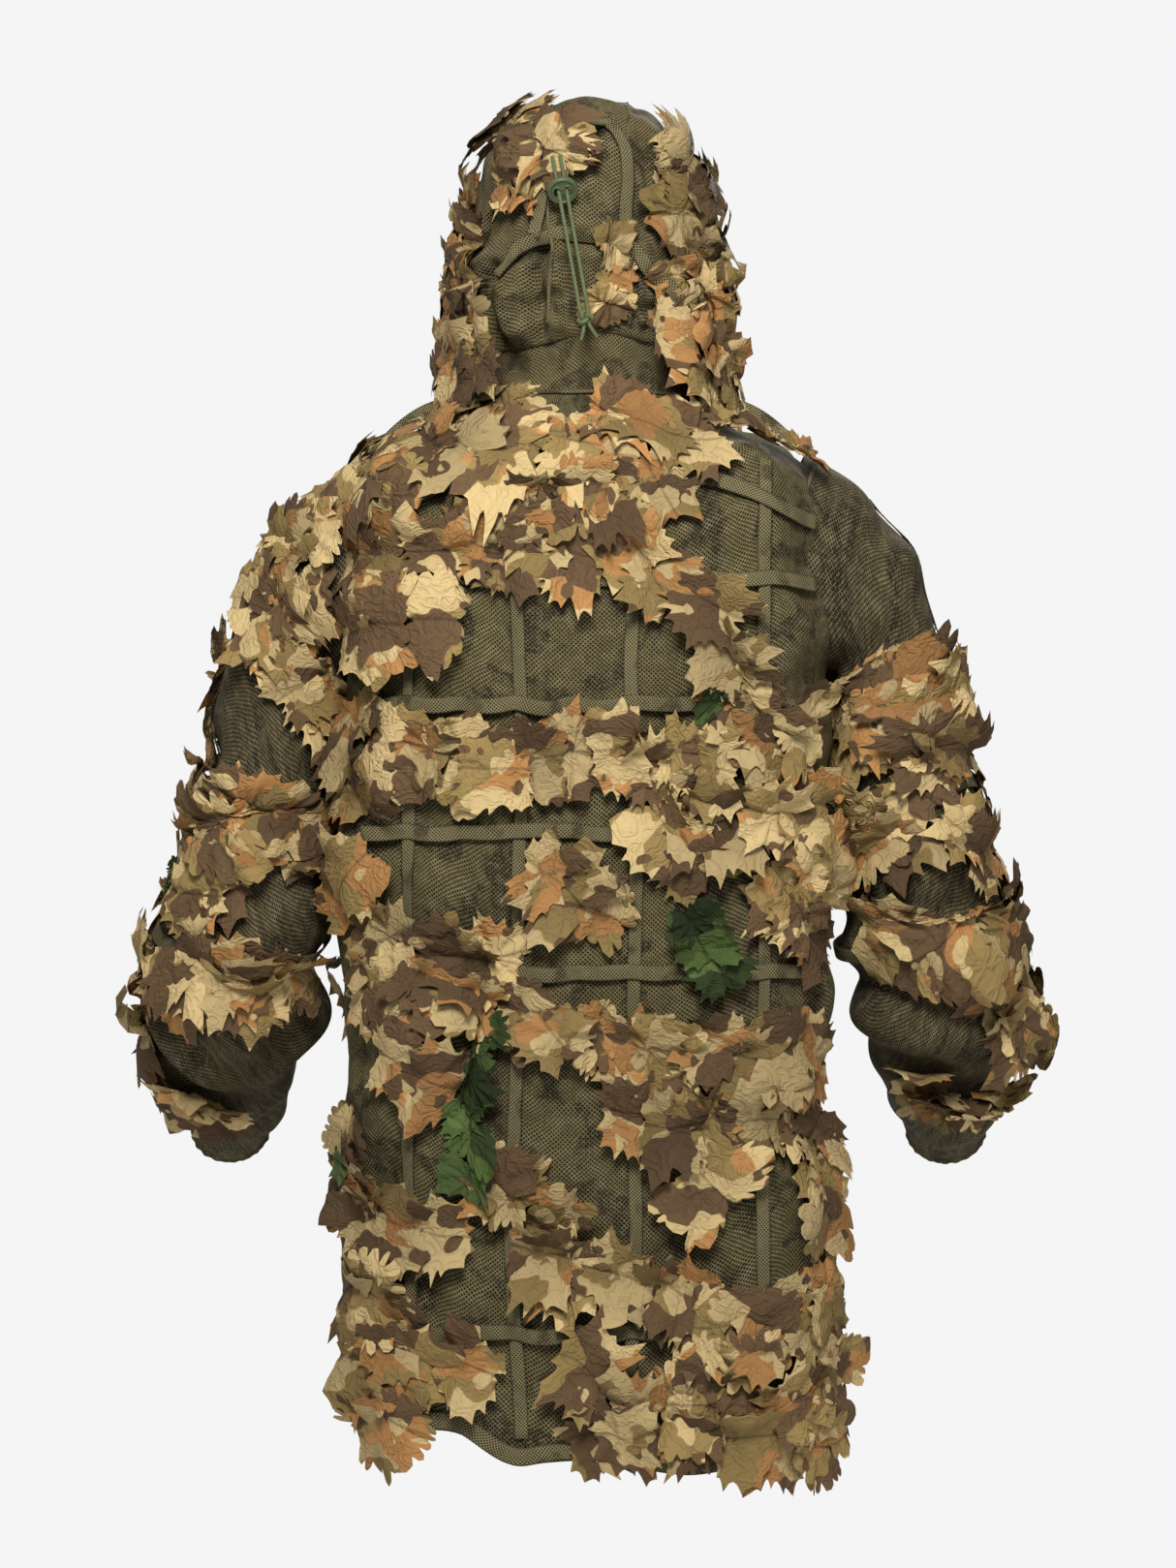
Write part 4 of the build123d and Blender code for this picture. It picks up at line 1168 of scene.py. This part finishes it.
def make_sleeve_tapes(word, side, cloth, tape):
    """One tape down the outside of the arm and two round it."""
    strips = []
    share, outer = np.linspace(0.06, 0.58, 70), np.zeros(70)
    points, normals = cloth.point(outer, share), cloth.outward(outer, share)
    strips.append((even_out(points + normals * 1.8 * MM, 1), normals, TAPE_WIDTH * 0.8))
    for height in (0.36, 0.56):
        turn = np.linspace(0, 1, 90)
        wave = height + 0.004 * np.sin(turn * 2 * pi * 3)
        points, normals = cloth.point(turn, wave), cloth.outward(turn, wave)
        strips.append((points + normals * 3.4 * MM, normals, TAPE_WIDTH * 0.8))
    name = f"sleeve_tapes_{word}"
    bend = shoulder_bend(word, side)
    finish_piece(ribbon(name + "_cloth", strips), tape, f"sleeve_{word}", (name,), bend)


# ------------------------------------------------------------------ hood
HOOD_BEND = ("jacket", "hood", (0, -0.11, 0.06), (0, 0, 0.2))
HOOD_SEAM = 38 * MM
# The tape that arches over the back of the crown: (x, z) places in millimetres.
CROWN_ARCH = ((26, 196), (16, 214), (2, 226), (-14, 224), (-26, 212), (-32, 196), (-34, 160), (-30, 124))


def hood_line(hood, targets, rise):
    """Points and normals of the hood's cloth nearest to some target points, smoothed."""
    points, normals = [], []
    flat = hood.grid.reshape(-1, 3)
    flat_normal = hood.normal.reshape(-1, 3)
    for target in targets:
        near = np.argsort(((flat - np.array(target)) ** 2).sum(1))[:6]
        away = 1 / (((flat[near] - np.array(target)) ** 2).sum(1) + 1e-6)
        away = (away / away.sum())[:, None]
        points.append((flat[near] * away).sum(0))
        normals.append((flat_normal[near] * away).sum(0))
    normals = even_out(normals, 3)
    normals /= np.linalg.norm(normals, axis=1)[:, None]
    return even_out(points, 3) + normals * rise, normals


def over_hood(x, count, start, end):
    """Targets on a line that goes up the back of the hood and over its crown."""
    targets = []
    for angle in np.radians(np.linspace(start, end, count)):
        targets.append((x, 0.135 * cos(angle) - 0.005, 0.130 + 0.135 * sin(angle)))
    return targets


def make_hood_panels(hood, net, tape):
    """Net panels, seams, face binding and tapes of the hood."""
    def part(low, high):
        return lambda at: low < at[0] < high and outside_face(at)

    panels = (("right", -1, -HOOD_SEAM), ("left", HOOD_SEAM, 1), ("centre", -HOOD_SEAM, HOOD_SEAM))
    for word, low, high in panels:
        name = f"hood_{word}_panel"
        piece = net_piece(name + "_net", hood, (0, hood.columns), part(low, high))
        smoother(piece)
        finish_piece(piece, net, "hood", (name,), HOOD_BEND)
    seams = []
    for side in (-1, 1):
        points, _ = hood_line(hood, over_hood(side * HOOD_SEAM, 60, -38, 118), 0.4 * MM)
        seams.append((points, SEAM_RADIUS, False))
    finish_piece(tube("hood_seams", seams), tape, "hood", (), HOOD_BEND)
    targets = []
    for angle in np.linspace(0.16, 2 * pi - 0.16, 90):
        x, z = sin(angle) * (FACE_HALF_WIDTH + 3 * MM), -cos(angle) * (FACE_HALF_HEIGHT + 3 * MM)
        targets.append((x, -0.115 + 0.04 * (x / 0.07) ** 2, FACE_MIDDLE + z))
    points, normals = hood_line(hood, targets, 0.5 * MM)
    gather = 1 + 0.12 * np.sin(np.arange(90) * 2.1)
    rolled = tube("hood_face_binding_cloth", [(points, 4.0 * MM * gather, False)], 12)
    finish_piece(rolled, tape, "hood", ("hood_face_binding",), HOOD_BEND)
    strips = []
    points, normals = hood_line(hood, over_hood(54 * MM, 70, -4, 100), 3 * MM)
    strips.append((points, normals, TAPE_WIDTH * 0.75))
    for path, rise in ((CROWN_ARCH, 3.0), (RIGHT_FOLD, 3.6)):
        corners = resample(np.array([(x, 0, z) for x, z in path]) * MM, 60)
        targets = even_out(corners + (0, 0.105, 0), 6)
        points, normals = hood_line(hood, targets, rise * MM)
        strips.append((points, normals, TAPE_WIDTH * 0.75))
    finish_piece(ribbon("hood_tapes_cloth", strips), tape, "hood", ("hood_tapes",), HOOD_BEND)


# ------------------------------------------------------------------ hood cord
CORD_TOP, CORD_FOOT = Vector((0.026, 0.122, 0.184)), Vector((0.003, 0.120, 0.056))
CORD_FACE = 0.107  # y of the eyelet plate's outer face
CORD_RADIUS, CORD_HALF_GAP = 1.6 * MM, 3.2 * MM
# Of a strand outside the hood; from its corner to where it is straight.
CORD_LENGTH, CORD_BEND = 0.1421, 0.019


def cord_directions():
    """Down the cord, out from the hood and across the two strands."""
    down = (CORD_FOOT - CORD_TOP).normalized()
    out = (Vector((0, 1, 0)) - down * down.y).normalized()
    return down, out, down.cross(out)


def make_cord(cord_material):
    """Two taut strands out of the eyelet plate, down through the toggle and into the knot."""
    down, out, across = cord_directions()
    knot = make_knot(down, out, across)
    knot.data.materials.append(cord_material)
    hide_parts("cord_knot")
    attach(knot, "hood")
    for word, side in (("a", -1), ("b", 1)):
        shift = across * (side * CORD_HALF_GAP)
        corner, foot = CORD_TOP + shift, CORD_FOOT + shift
        start = Vector((corner.x, CORD_FACE, corner.z))
        route = (start, corner, corner + down * CORD_BEND, foot)
        curve = bpy.data.curves.new(f"hood_cord_{word}", "CURVE")
        curve.dimensions = "3D"
        spline = curve.splines.new("NURBS")
        spline.points.add(len(route) - 1)
        for point, place in zip(spline.points, route):
            point.co = (*place, 1)
        spline.order_u = 3
        spline.use_endpoint_u = True
        spline.resolution_u = 16
        curve.bevel_depth = CORD_RADIUS
        curve.bevel_resolution = 4
        curve.use_fill_caps = True
        strand = bpy.data.objects.new(f"hood_cord_{word}", curve)
        bpy.context.scene.collection.objects.link(strand)
        curve.materials.append(cord_material)
        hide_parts("hood_cord")
        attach(strand, "hood")


def make_knot(down, out, across):
    """Overhand knot of the two strands with two short splayed tails."""
    def place(below, aside, proud):
        return middle + (down * float(below) + across * float(aside) + out * float(proud)) * MM

    middle = CORD_FOOT + down * 5 * MM
    loop = []
    for t in np.linspace(0, 2 * pi, 64, endpoint=False):
        loop.append(place(1.7 * (cos(t) - 2 * cos(2 * t)), 2.0 * (sin(t) + 2 * sin(2 * t)),
                          1 - 2.3 * sin(3 * t)))
    lines = [(loop, 2.0 * MM, True)]
    for side in (-1, 1):
        tail = [place(3 + 15 * t, side * (1.6 + 5.5 * t ** 1.4), 1.5 * sin(3 * t))
                for t in np.linspace(0, 1, 12)]
        lines.append((tail, np.array([1.6 * MM] * 10 + [1.9 * MM, 1.2 * MM]), False))
        lines.append(([place(-6, side * 3.2, 0), place(0, side * 1.5, 0)], 1.6 * MM, False))
    return tube("cord_knot_tied", lines, 10)


def closed_outline(curve, middle, half_size, squareness=2.0):
    """Add an oval to a flat curve, as one closed polyline."""
    turns = np.linspace(0, 2 * pi, 40, endpoint=False)
    spline = curve.splines.new("POLY")
    spline.points.add(len(turns) - 1)
    for point, turn in zip(spline.points, turns):
        x = np.sign(cos(turn)) * abs(cos(turn)) ** (2 / squareness) * half_size[0] + middle[0]
        y = np.sign(sin(turn)) * abs(sin(turn)) ** (2 / squareness) * half_size[1] + middle[1]
        point.co = (x, y, 0, 1)
    spline.use_cyclic_u = True


TOGGLE_DOWN, TOGGLE_TILT = 0.030, radians(42)  # from the cord's top; the disc leans out at its top
TOGGLE_HALF = (0.0120, 0.0115)
TOGGLE_HALF_THICK, TOGGLE_EDGE = 0.9 * MM, 0.5 * MM
TOGGLE_RIM, TOGGLE_HOLE_RIM = 1.5 * MM, 0.9 * MM  # radii of the raised rims
TOGGLE_HOLE = (0.0046, 0.0012, 0.0031, 0.0046)  # each side's middle across and up, half width and height


def make_toggle(plastic):
    """The cord lock: an oval rimmed disc with two holes that the strands come out of."""
    down, out, across = cord_directions()
    normal = out * cos(TOGGLE_TILT) + down * sin(TOGGLE_TILT)
    up = normal.cross(across)
    middle = CORD_TOP + down * TOGGLE_DOWN
    aside, high, wide, tall = TOGGLE_HOLE
    plate = bpy.data.curves.new("toggle_outline", "CURVE")
    plate.dimensions, plate.fill_mode = "2D", "BOTH"
    plate.extrude, plate.bevel_depth, plate.bevel_resolution = TOGGLE_HALF_THICK, TOGGLE_EDGE, 3
    closed_outline(plate, (0, 0), TOGGLE_HALF, 2.3)
    for side in (-1, 1):
        closed_outline(plate, (side * aside, high), (wide, tall), 2.4)
    outline = bpy.data.objects.new("toggle_outline", plate)
    mesh = bpy.data.meshes.new_from_object(outline)
    bpy.data.objects.remove(outline)
    flat = np.array([v.co for v in mesh.vertices])
    flat_faces = [tuple(face.vertices) for face in mesh.polygons]
    axes = np.array([across, up, normal])
    rings = [((0, 0), (TOGGLE_HALF[0] - 1 * MM, TOGGLE_HALF[1] - 1 * MM), TOGGLE_RIM)]
    for side in (-1, 1):
        half_size = (wide + TOGGLE_HOLE_RIM, tall + TOGGLE_HOLE_RIM)
        rings.append(((side * aside, high), half_size, TOGGLE_HOLE_RIM))
    lines = []
    for centre, half_size, radius in rings:
        for face in (-1, 1):
            turns = np.linspace(0, 2 * pi, 44, endpoint=False)
            x, y = centre[0] + np.cos(turns) * half_size[0], centre[1] + np.sin(turns) * half_size[1]
            ring = np.stack([x, y, np.full(44, face * 1.1 * MM)], 1)
            lines.append((ring @ axes + middle, radius, True))
    rims = tube("toggle_rims", lines, 10)
    rim_points = [tuple(v.co) for v in rims.data.vertices]
    rim_faces = [tuple(len(flat) + i for i in face.vertices) for face in rims.data.polygons]
    bpy.data.objects.remove(rims)
    piece = mesh_object("cord_toggle_disc", [*(flat @ axes + middle), *rim_points], flat_faces + rim_faces)
    finish_piece(piece, plastic, "cord_toggle", ("cord_toggle",))


# ------------------------------------------------------------------ where the leaves go
# Runs of leaves in millimetres: start x and z, end x and z, scatter to each side.
BACK_RUNS = {
    1: ((196, -66, 134, -92, 6), (140, -34, 52, -66, 8), (94, -12, 60, -24, 4), (66, -46, -34, -58, 8),
        (62, -92, -36, -102, 8), (-14, -24, -112, -46, 9), (-34, -64, -72, -112, 6)),
    2: ((190, -132, 48, -140, 9), (188, -194, 104, -206, 9), (-30, -124, -72, -176, 6),
        (60, -128, -6, -148, 6), (-84, -168, -120, -190, 6), (-104, -204, -126, -262, 5)),
    3: ((172, -302, -174, -306, 12), (186, -254, 178, -352, 6), (-116, -268, -182, -288, 9),
        (-60, -340, -182, -352, 9)),
    4: ((48, -384, -18, -440, 8), (-50, -352, -100, -400, 8), (-150, -400, -182, -470, 6),
        (186, -440, 62, -476, 8), (190, -380, 190, -432, 5), (-184, -366, -190, -446, 6)),
    5: ((184, -486, 66, -508, 9), (166, -552, 118, -564, 8), (60, -500, 14, -540, 6),
        (6, -532, -184, -548, 8), (-20, -592, -180, -610, 12), (-92, -640, -112, -650, 8)),
    6: ((192, -590, 188, -690, 6), (188, -664, 112, -700, 11), (92, -640, 22, -690, 8),
        (54, -704, 6, -728, 6), (-184, -590, -188, -700, 6)),
    7: ((192, -742, 122, -768, 10), (196, -800, 84, -812, 14), (188, -842, 132, -852, 8),
        (30, -716, -70, -736, 6), (-60, -746, -186, -770, 12), (16, -804, -50, -826, 12),
        (22, -850, -40, -862, 8), (-62, -812, -190, -820, 16), (-70, -856, -190, -860, 8),
        (-188, -716, -194, -850, 6)),
}
FRONT_RUNS = {
    1: ((48, -98, 150, -122, 9), (42, -238, 160, -262, 12), (120, -150, 162, -214, 8)),
    2: ((44, -420, 160, -446, 10), (42, -486, 150, -516, 10),
        (44, -664, 164, -690, 10), (60, -742, 162, -770, 12)),
}
# Bands of leaves on the sleeves and the hood: x from and to, z from and to, number of leaves.
ARM_BANDS = {
    "left": {1: ((210, 256, -96, -156, 5), (286, 226, -160, -226, 6), (244, 216, -236, -284, 3)),
             2: ((342, 222, -330, -392, 10), (338, 292, -392, -440, 3)),
             3: ((386, 226, -458, -512, 12), (386, 376, -528, -548, 1), (352, 300, -584, -610, 3))},
    "right": {1: ((-214, -308, -226, -312, 12),),
              2: ((-202, -272, -330, -392, 6), (-290, -330, -350, -400, 2)),
              3: ((-240, -356, -434, -480, 8), (-324, -362, -490, -548, 4), (-276, -352, -562, -610, 5))},
}
HOOD_BANDS = {
    "left": ((72, 44, 184, 160, 2), (40, 14, 196, 166, 2),
             (122, 92, 164, 118, 4), (116, 94, 100, 66, 4)),
    "right": ((-66, -86, 220, 160, 4), (-64, -114, 148, 118, 5),
              (-80, -124, 114, 92, 4), (-70, -116, 90, 74, 4)),
    "crown": ((92, 40, 226, 238, 4), (-18, -22, 118, 112, 1),
              (-20, -22, 90, 84, 1), (-10, -14, 68, 64, 1)),
}
SHOULDER_RUN = (-98, -34, -180, -62, 4)  # small leaves on the right shoulder
GREEN_RUNS = ((-84, -424, -104, -494, 8), (78, -520, 104, -650, 6))


def torso_run(leaves, torso, run, back=True, mirror=1, **options):
    """Leaves along a run on the torso."""
    x0, z0, x1, z1, spread = run
    start = torso.at(mirror * x0 * MM, z0 * MM, back)
    end = torso.at(mirror * x1 * MM, z1 * MM, back)
    leaves.run(torso, start, end, spread, **options)


def band(leaves, cloth, box, **options):
    """Leaves scattered over a band of a sleeve or of the hood, on the side that faces back."""
    x0, x1, z0, z1, count = box
    rng = leaves.rng
    for index in range(count):
        x = x0 + (x1 - x0) * (index + 0.5) / count + rng.uniform(-5, 5)
        z = z0 + (z1 - z0) * float(rng.uniform(0, 1) * 0.4 + ((index * 0.618) % 1) * 0.6)
        u, v = cloth.nearest(x * MM, z * MM)
        leaves.one(cloth, u, v, float(rng.normal(0.0, 0.45)), **options)


def make_torso_leaves(torso, cloth, green):
    """Leaf strips of the back and the fronts, and the green ones."""
    for number, runs in BACK_RUNS.items():
        leaves = Leaves(100 + number)
        for run in runs:
            torso_run(leaves, torso, run)
        if number == 1:
            torso_run(leaves, torso, SHOULDER_RUN, spacing=17, size=(16, 25), lift=(6, 12), flare=1.5)
        name = f"leaf_strip_back_{number}"
        finish_leaves(leaves.piece(name + "_cloth", cloth), "jacket", name)
    for word, side in (("left", 1), ("right", -1)):
        for number, runs in FRONT_RUNS.items():
            leaves = Leaves(120 + number * 2 + side)
            for run in runs:
                torso_run(leaves, torso, run, back=False, mirror=side)
            name = f"leaf_strip_front_{word}_{number}"
            finish_leaves(leaves.piece(name + "_cloth", cloth), "jacket", name)
    leaves = Leaves(140)
    for run in GREEN_RUNS:
        torso_run(leaves, torso, run, spacing=24, size=(19, 27), lift=(10, 14), flare=1.1)
    for u, v in (torso.at(0.196, -0.640), torso.at(-0.100, -0.262)):
        leaves.one(torso, u, v, 0.4, size=(12, 16), lift=(8, 12))
    piece = leaves.piece("green_leaf_strips_cloth", green)
    finish_leaves(piece, "jacket", "green_leaf_strips")


def make_small_green_leaf(name, cloth, place, size, material, body, blend):
    """A short green strip of two leaves on a sleeve or on the hood."""
    leaves = Leaves(len(name))
    u, v = cloth.nearest(place[0] * MM, place[1] * MM)
    for step in (-0.02, 0.02):
        leaves.one(cloth, u, v + step, pi / 2, size=size, lift=(5, 9))
    finish_piece(leaves.piece(name, material), None, body, (), blend)


def finish_leaves(piece, body, node_name, blend=None):
    """Body and replaced node of a piece of leaves, which has its slot already; with a blend its transform is
    baked in and it gets no body.
    """
    finish_piece(piece, None, body, (node_name,), blend)


def make_sleeve_leaves(word, side, sleeve, cloth, green):
    """Leaf strips of one sleeve: bands on its back and a few leaves down its outer side."""
    body, bend = f"sleeve_{word}", shoulder_bend(word, side)
    spans = {1: (0.12 if side > 0 else 0.24, 0.36), 2: (0.40, 0.60), 3: (0.64, 0.86)}
    for number, bands in ARM_BANDS[word].items():
        leaves = Leaves(160 + number * 2 + side)
        for box in bands:
            band(leaves, sleeve, box)
        low, high = spans[number]
        for index in range(9):
            place = (index * 0.618) % 1
            u = (-0.24 + 0.28 * place) if side > 0 else (-0.02 + 0.28 * place)
            leaves.one(sleeve, u, low + (high - low) * (index + 0.5) / 9, float(leaves.rng.normal(0, 0.4)))
        name = f"leaf_strip_arm_{word}_{number}"
        finish_leaves(leaves.piece(name + "_cloth", cloth), body, name, bend)
    if side > 0:
        make_small_green_leaf("green_leaves_sleeve", sleeve, (346, -412), (14, 18), green, body, bend)


SKIRT_SHARES = {  # places of the leaves that hang from the hood's lower edge, round from the face
    "left": (0.14, 0.19, 0.235, 0.28, 0.325, 0.36, 0.17, 0.26, 0.34, 0.385),
    "right": (0.14, 0.19, 0.235, 0.28, 0.325, 0.36, 0.17, 0.26, 0.34, 0.385, 0.41),
}


def hood_skirt(hood):
    """A place for the leaves that hang past the hood's lower edge: its walls, carried on down."""
    row = int(np.argmin(np.abs(hood.grid[:, hood.columns // 2, 2] - 0.080)))
    ring = hood.grid[row]
    rows = []
    for step in np.linspace(0, 1, 12):
        lower = ring.copy()
        lower[:, :2] *= 1 + 0.10 * step
        lower[:, 2] -= 0.120 * step
        rows.append(lower)
    return Cloth(np.array(rows), True)


def make_hood_leaves(hood, cloth):
    """Leaf strips of the hood's two sides and its crown."""
    skirt = hood_skirt(hood)
    for word, bands in HOOD_BANDS.items():
        leaves = Leaves(180 + len(word))
        for box in bands:
            small = box[4] == 1
            options = {"size": (18, 25), "lift": (5, 7), "flare": 0.35} if small else {}
            band(leaves, hood, box, **options)
        if word != "crown":
            side = 1 if word == "left" else -1
            for index in range(7):
                turn = side * (0.13 + 0.13 * ((index * 0.618) % 1))
                leaves.one(hood, turn % 1, 0.42 + 0.05 * index, float(leaves.rng.normal(0, 0.4)))
            for index, share in enumerate(SKIRT_SHARES[word]):
                down = 0.22 + 0.42 * ((index * 0.618) % 1)
                leaves.one(skirt, (side * share) % 1, down, float(leaves.rng.normal(0, 0.4)), flare=0.6)
        name = f"leaf_strip_hood_{word}"
        finish_leaves(leaves.piece(name + "_cloth", cloth), "hood", name, HOOD_BEND)


# ------------------------------------------------------------------ zip
def make_zip_teeth(plastic):
    """Two rows of moulded coil turns that interlock down the front."""
    low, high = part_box("zip_coils")
    start = Vector((0, high.y - 1.2 * MM, high.z - 0.5 * MM))
    run = Vector((0, low.y + 1.2 * MM, low.z + 0.5 * MM)) - start
    along = run.normalized()
    out = Vector((0, -along.z, along.y)).normalized()
    out = out if out.y < 0 else -out
    pitch, half = 2.6 * MM, 0.55 * MM
    points, faces = [], []
    for index in range(int(run.length / pitch)):
        for side in (-1, 1):
            middle = start + along * pitch * (index + (0.25 if side > 0 else 0.75))
            first = len(points)
            for x, thick, depth in ((-0.5, 0.8, 0.8), (0.6, 1.0, 1.2), (2.2, 0.7, 1.1), (2.8, 0.5, 0.6)):
                for down, front in ((-1, -1), (1, -1), (1, 1), (-1, 1)):
                    spot = middle + along * (down * half * thick) + out * (front * depth * 0.9 * MM)
                    points.append(spot + Vector((side * x * MM, 0, 0)))
            for ring in range(3):
                for step in range(4):
                    a, b = first + ring * 4 + step, first + ring * 4 + (step + 1) % 4
                    faces.append((a, b, b + 4, a + 4))
            faces += [(first + 3, first + 2, first + 1, first),
                      (first + 12, first + 13, first + 14, first + 15)]
    piece = mesh_object("zip_coils_teeth", points, faces)
    rounding = piece.modifiers.new("rounding", "BEVEL")
    rounding.width, rounding.segments = 0.2 * MM, 1
    finish_piece(piece, plastic, "jacket", ("zip_coils",))


# ------------------------------------------------------------------ everything
def make_carried_parts(materials):
    """Materials of the CAD parts that are shown as they are."""
    for names, material in materials:
        for name in names:
            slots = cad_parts[name].data.materials
            slots.clear()
            slots.append(material)


def make_all():
    """Everything, in the order the pieces need one another."""
    make_camera()
    make_studio()
    cord = plain_material("cord_braid", "70794f", "4c5636", 0.75, grain=900, bump_depth=0.0004)
    make_cord(cord)
    net = net_material("torso_net", "6d623e", "3f3621", 2.6 * MM)
    # A darker copy of the same net for the sleeves: painted shade.
    shaded_sleeve_net = net_material("shaded_sleeve_net", "524830", "332b1c", 2.5 * MM)
    hood_net = net_material("hood_net", "736642", "443a24", 2.4 * MM)
    neck_net = net_material("neck_net", "7c7049", "4f4329", 2.3 * MM, blotch=0.56)
    tape = net_material("woven_tape", "8a7f5a", "5f5439", 2.1 * MM, blotch=0.60)
    leaf = leaf_material("leaf_print", LEAF_COLOURS)
    green = leaf_material("green_print", ("566938", "3a4920", "2d3919", "495c2b"), False)
    elastic = plain_material("elastic_band", "4b452e", "37321f", 0.8)
    torso = Torso(torso_grid(), False)
    fold_torso(torso)
    hood = Cloth(hood_grid(), True)
    fold_hood(hood)
    make_torso_panels(torso, net, tape)
    make_neck(torso, hood, neck_net, tape)
    make_torso_tapes(torso, tape)
    make_shoulder_tapes(tape)
    make_torso_leaves(torso, leaf, green)
    for word, side in (("left", 1), ("right", -1)):
        sleeve = Cloth(sleeve_grid(side), True)
        fold_sleeve(sleeve, side)
        make_sleeve_set(word, side, sleeve, shaded_sleeve_net, tape, elastic)
        make_sleeve_tapes(word, side, sleeve, tape)
        make_sleeve_leaves(word, side, sleeve, leaf, green)
    make_hood_panels(hood, hood_net, tape)
    make_hood_leaves(hood, leaf)
    make_small_green_leaf("green_leaves_hood", hood, (-100, 132), (16, 22), green, "hood", HOOD_BEND)
    zip_plastic = plain_material("zip_plastic", "4a4632", "37331f", 0.5)
    plastic = plain_material("toggle_plastic", "5d6b46", "46532f", 0.42, grain=700, bump_depth=0.0001)
    make_toggle(plastic)
    make_zip_teeth(zip_plastic)
    metal = plain_material("zip_metal", "77715c", "5c5747", 0.35, 1.0, 900, 0.00005)
    zip_cloth = plain_material("zip_cloth", "4d4730", "3a3523", 0.9, grain=1400)
    make_carried_parts((
        (("cord_eyelet_plate",), plastic),
        (("zip_slider", "zip_pull"), metal),
        (("zip_stops",), zip_plastic),
        (("zip_tape_left", "zip_tape_right"), zip_cloth),
    ))


make_all()
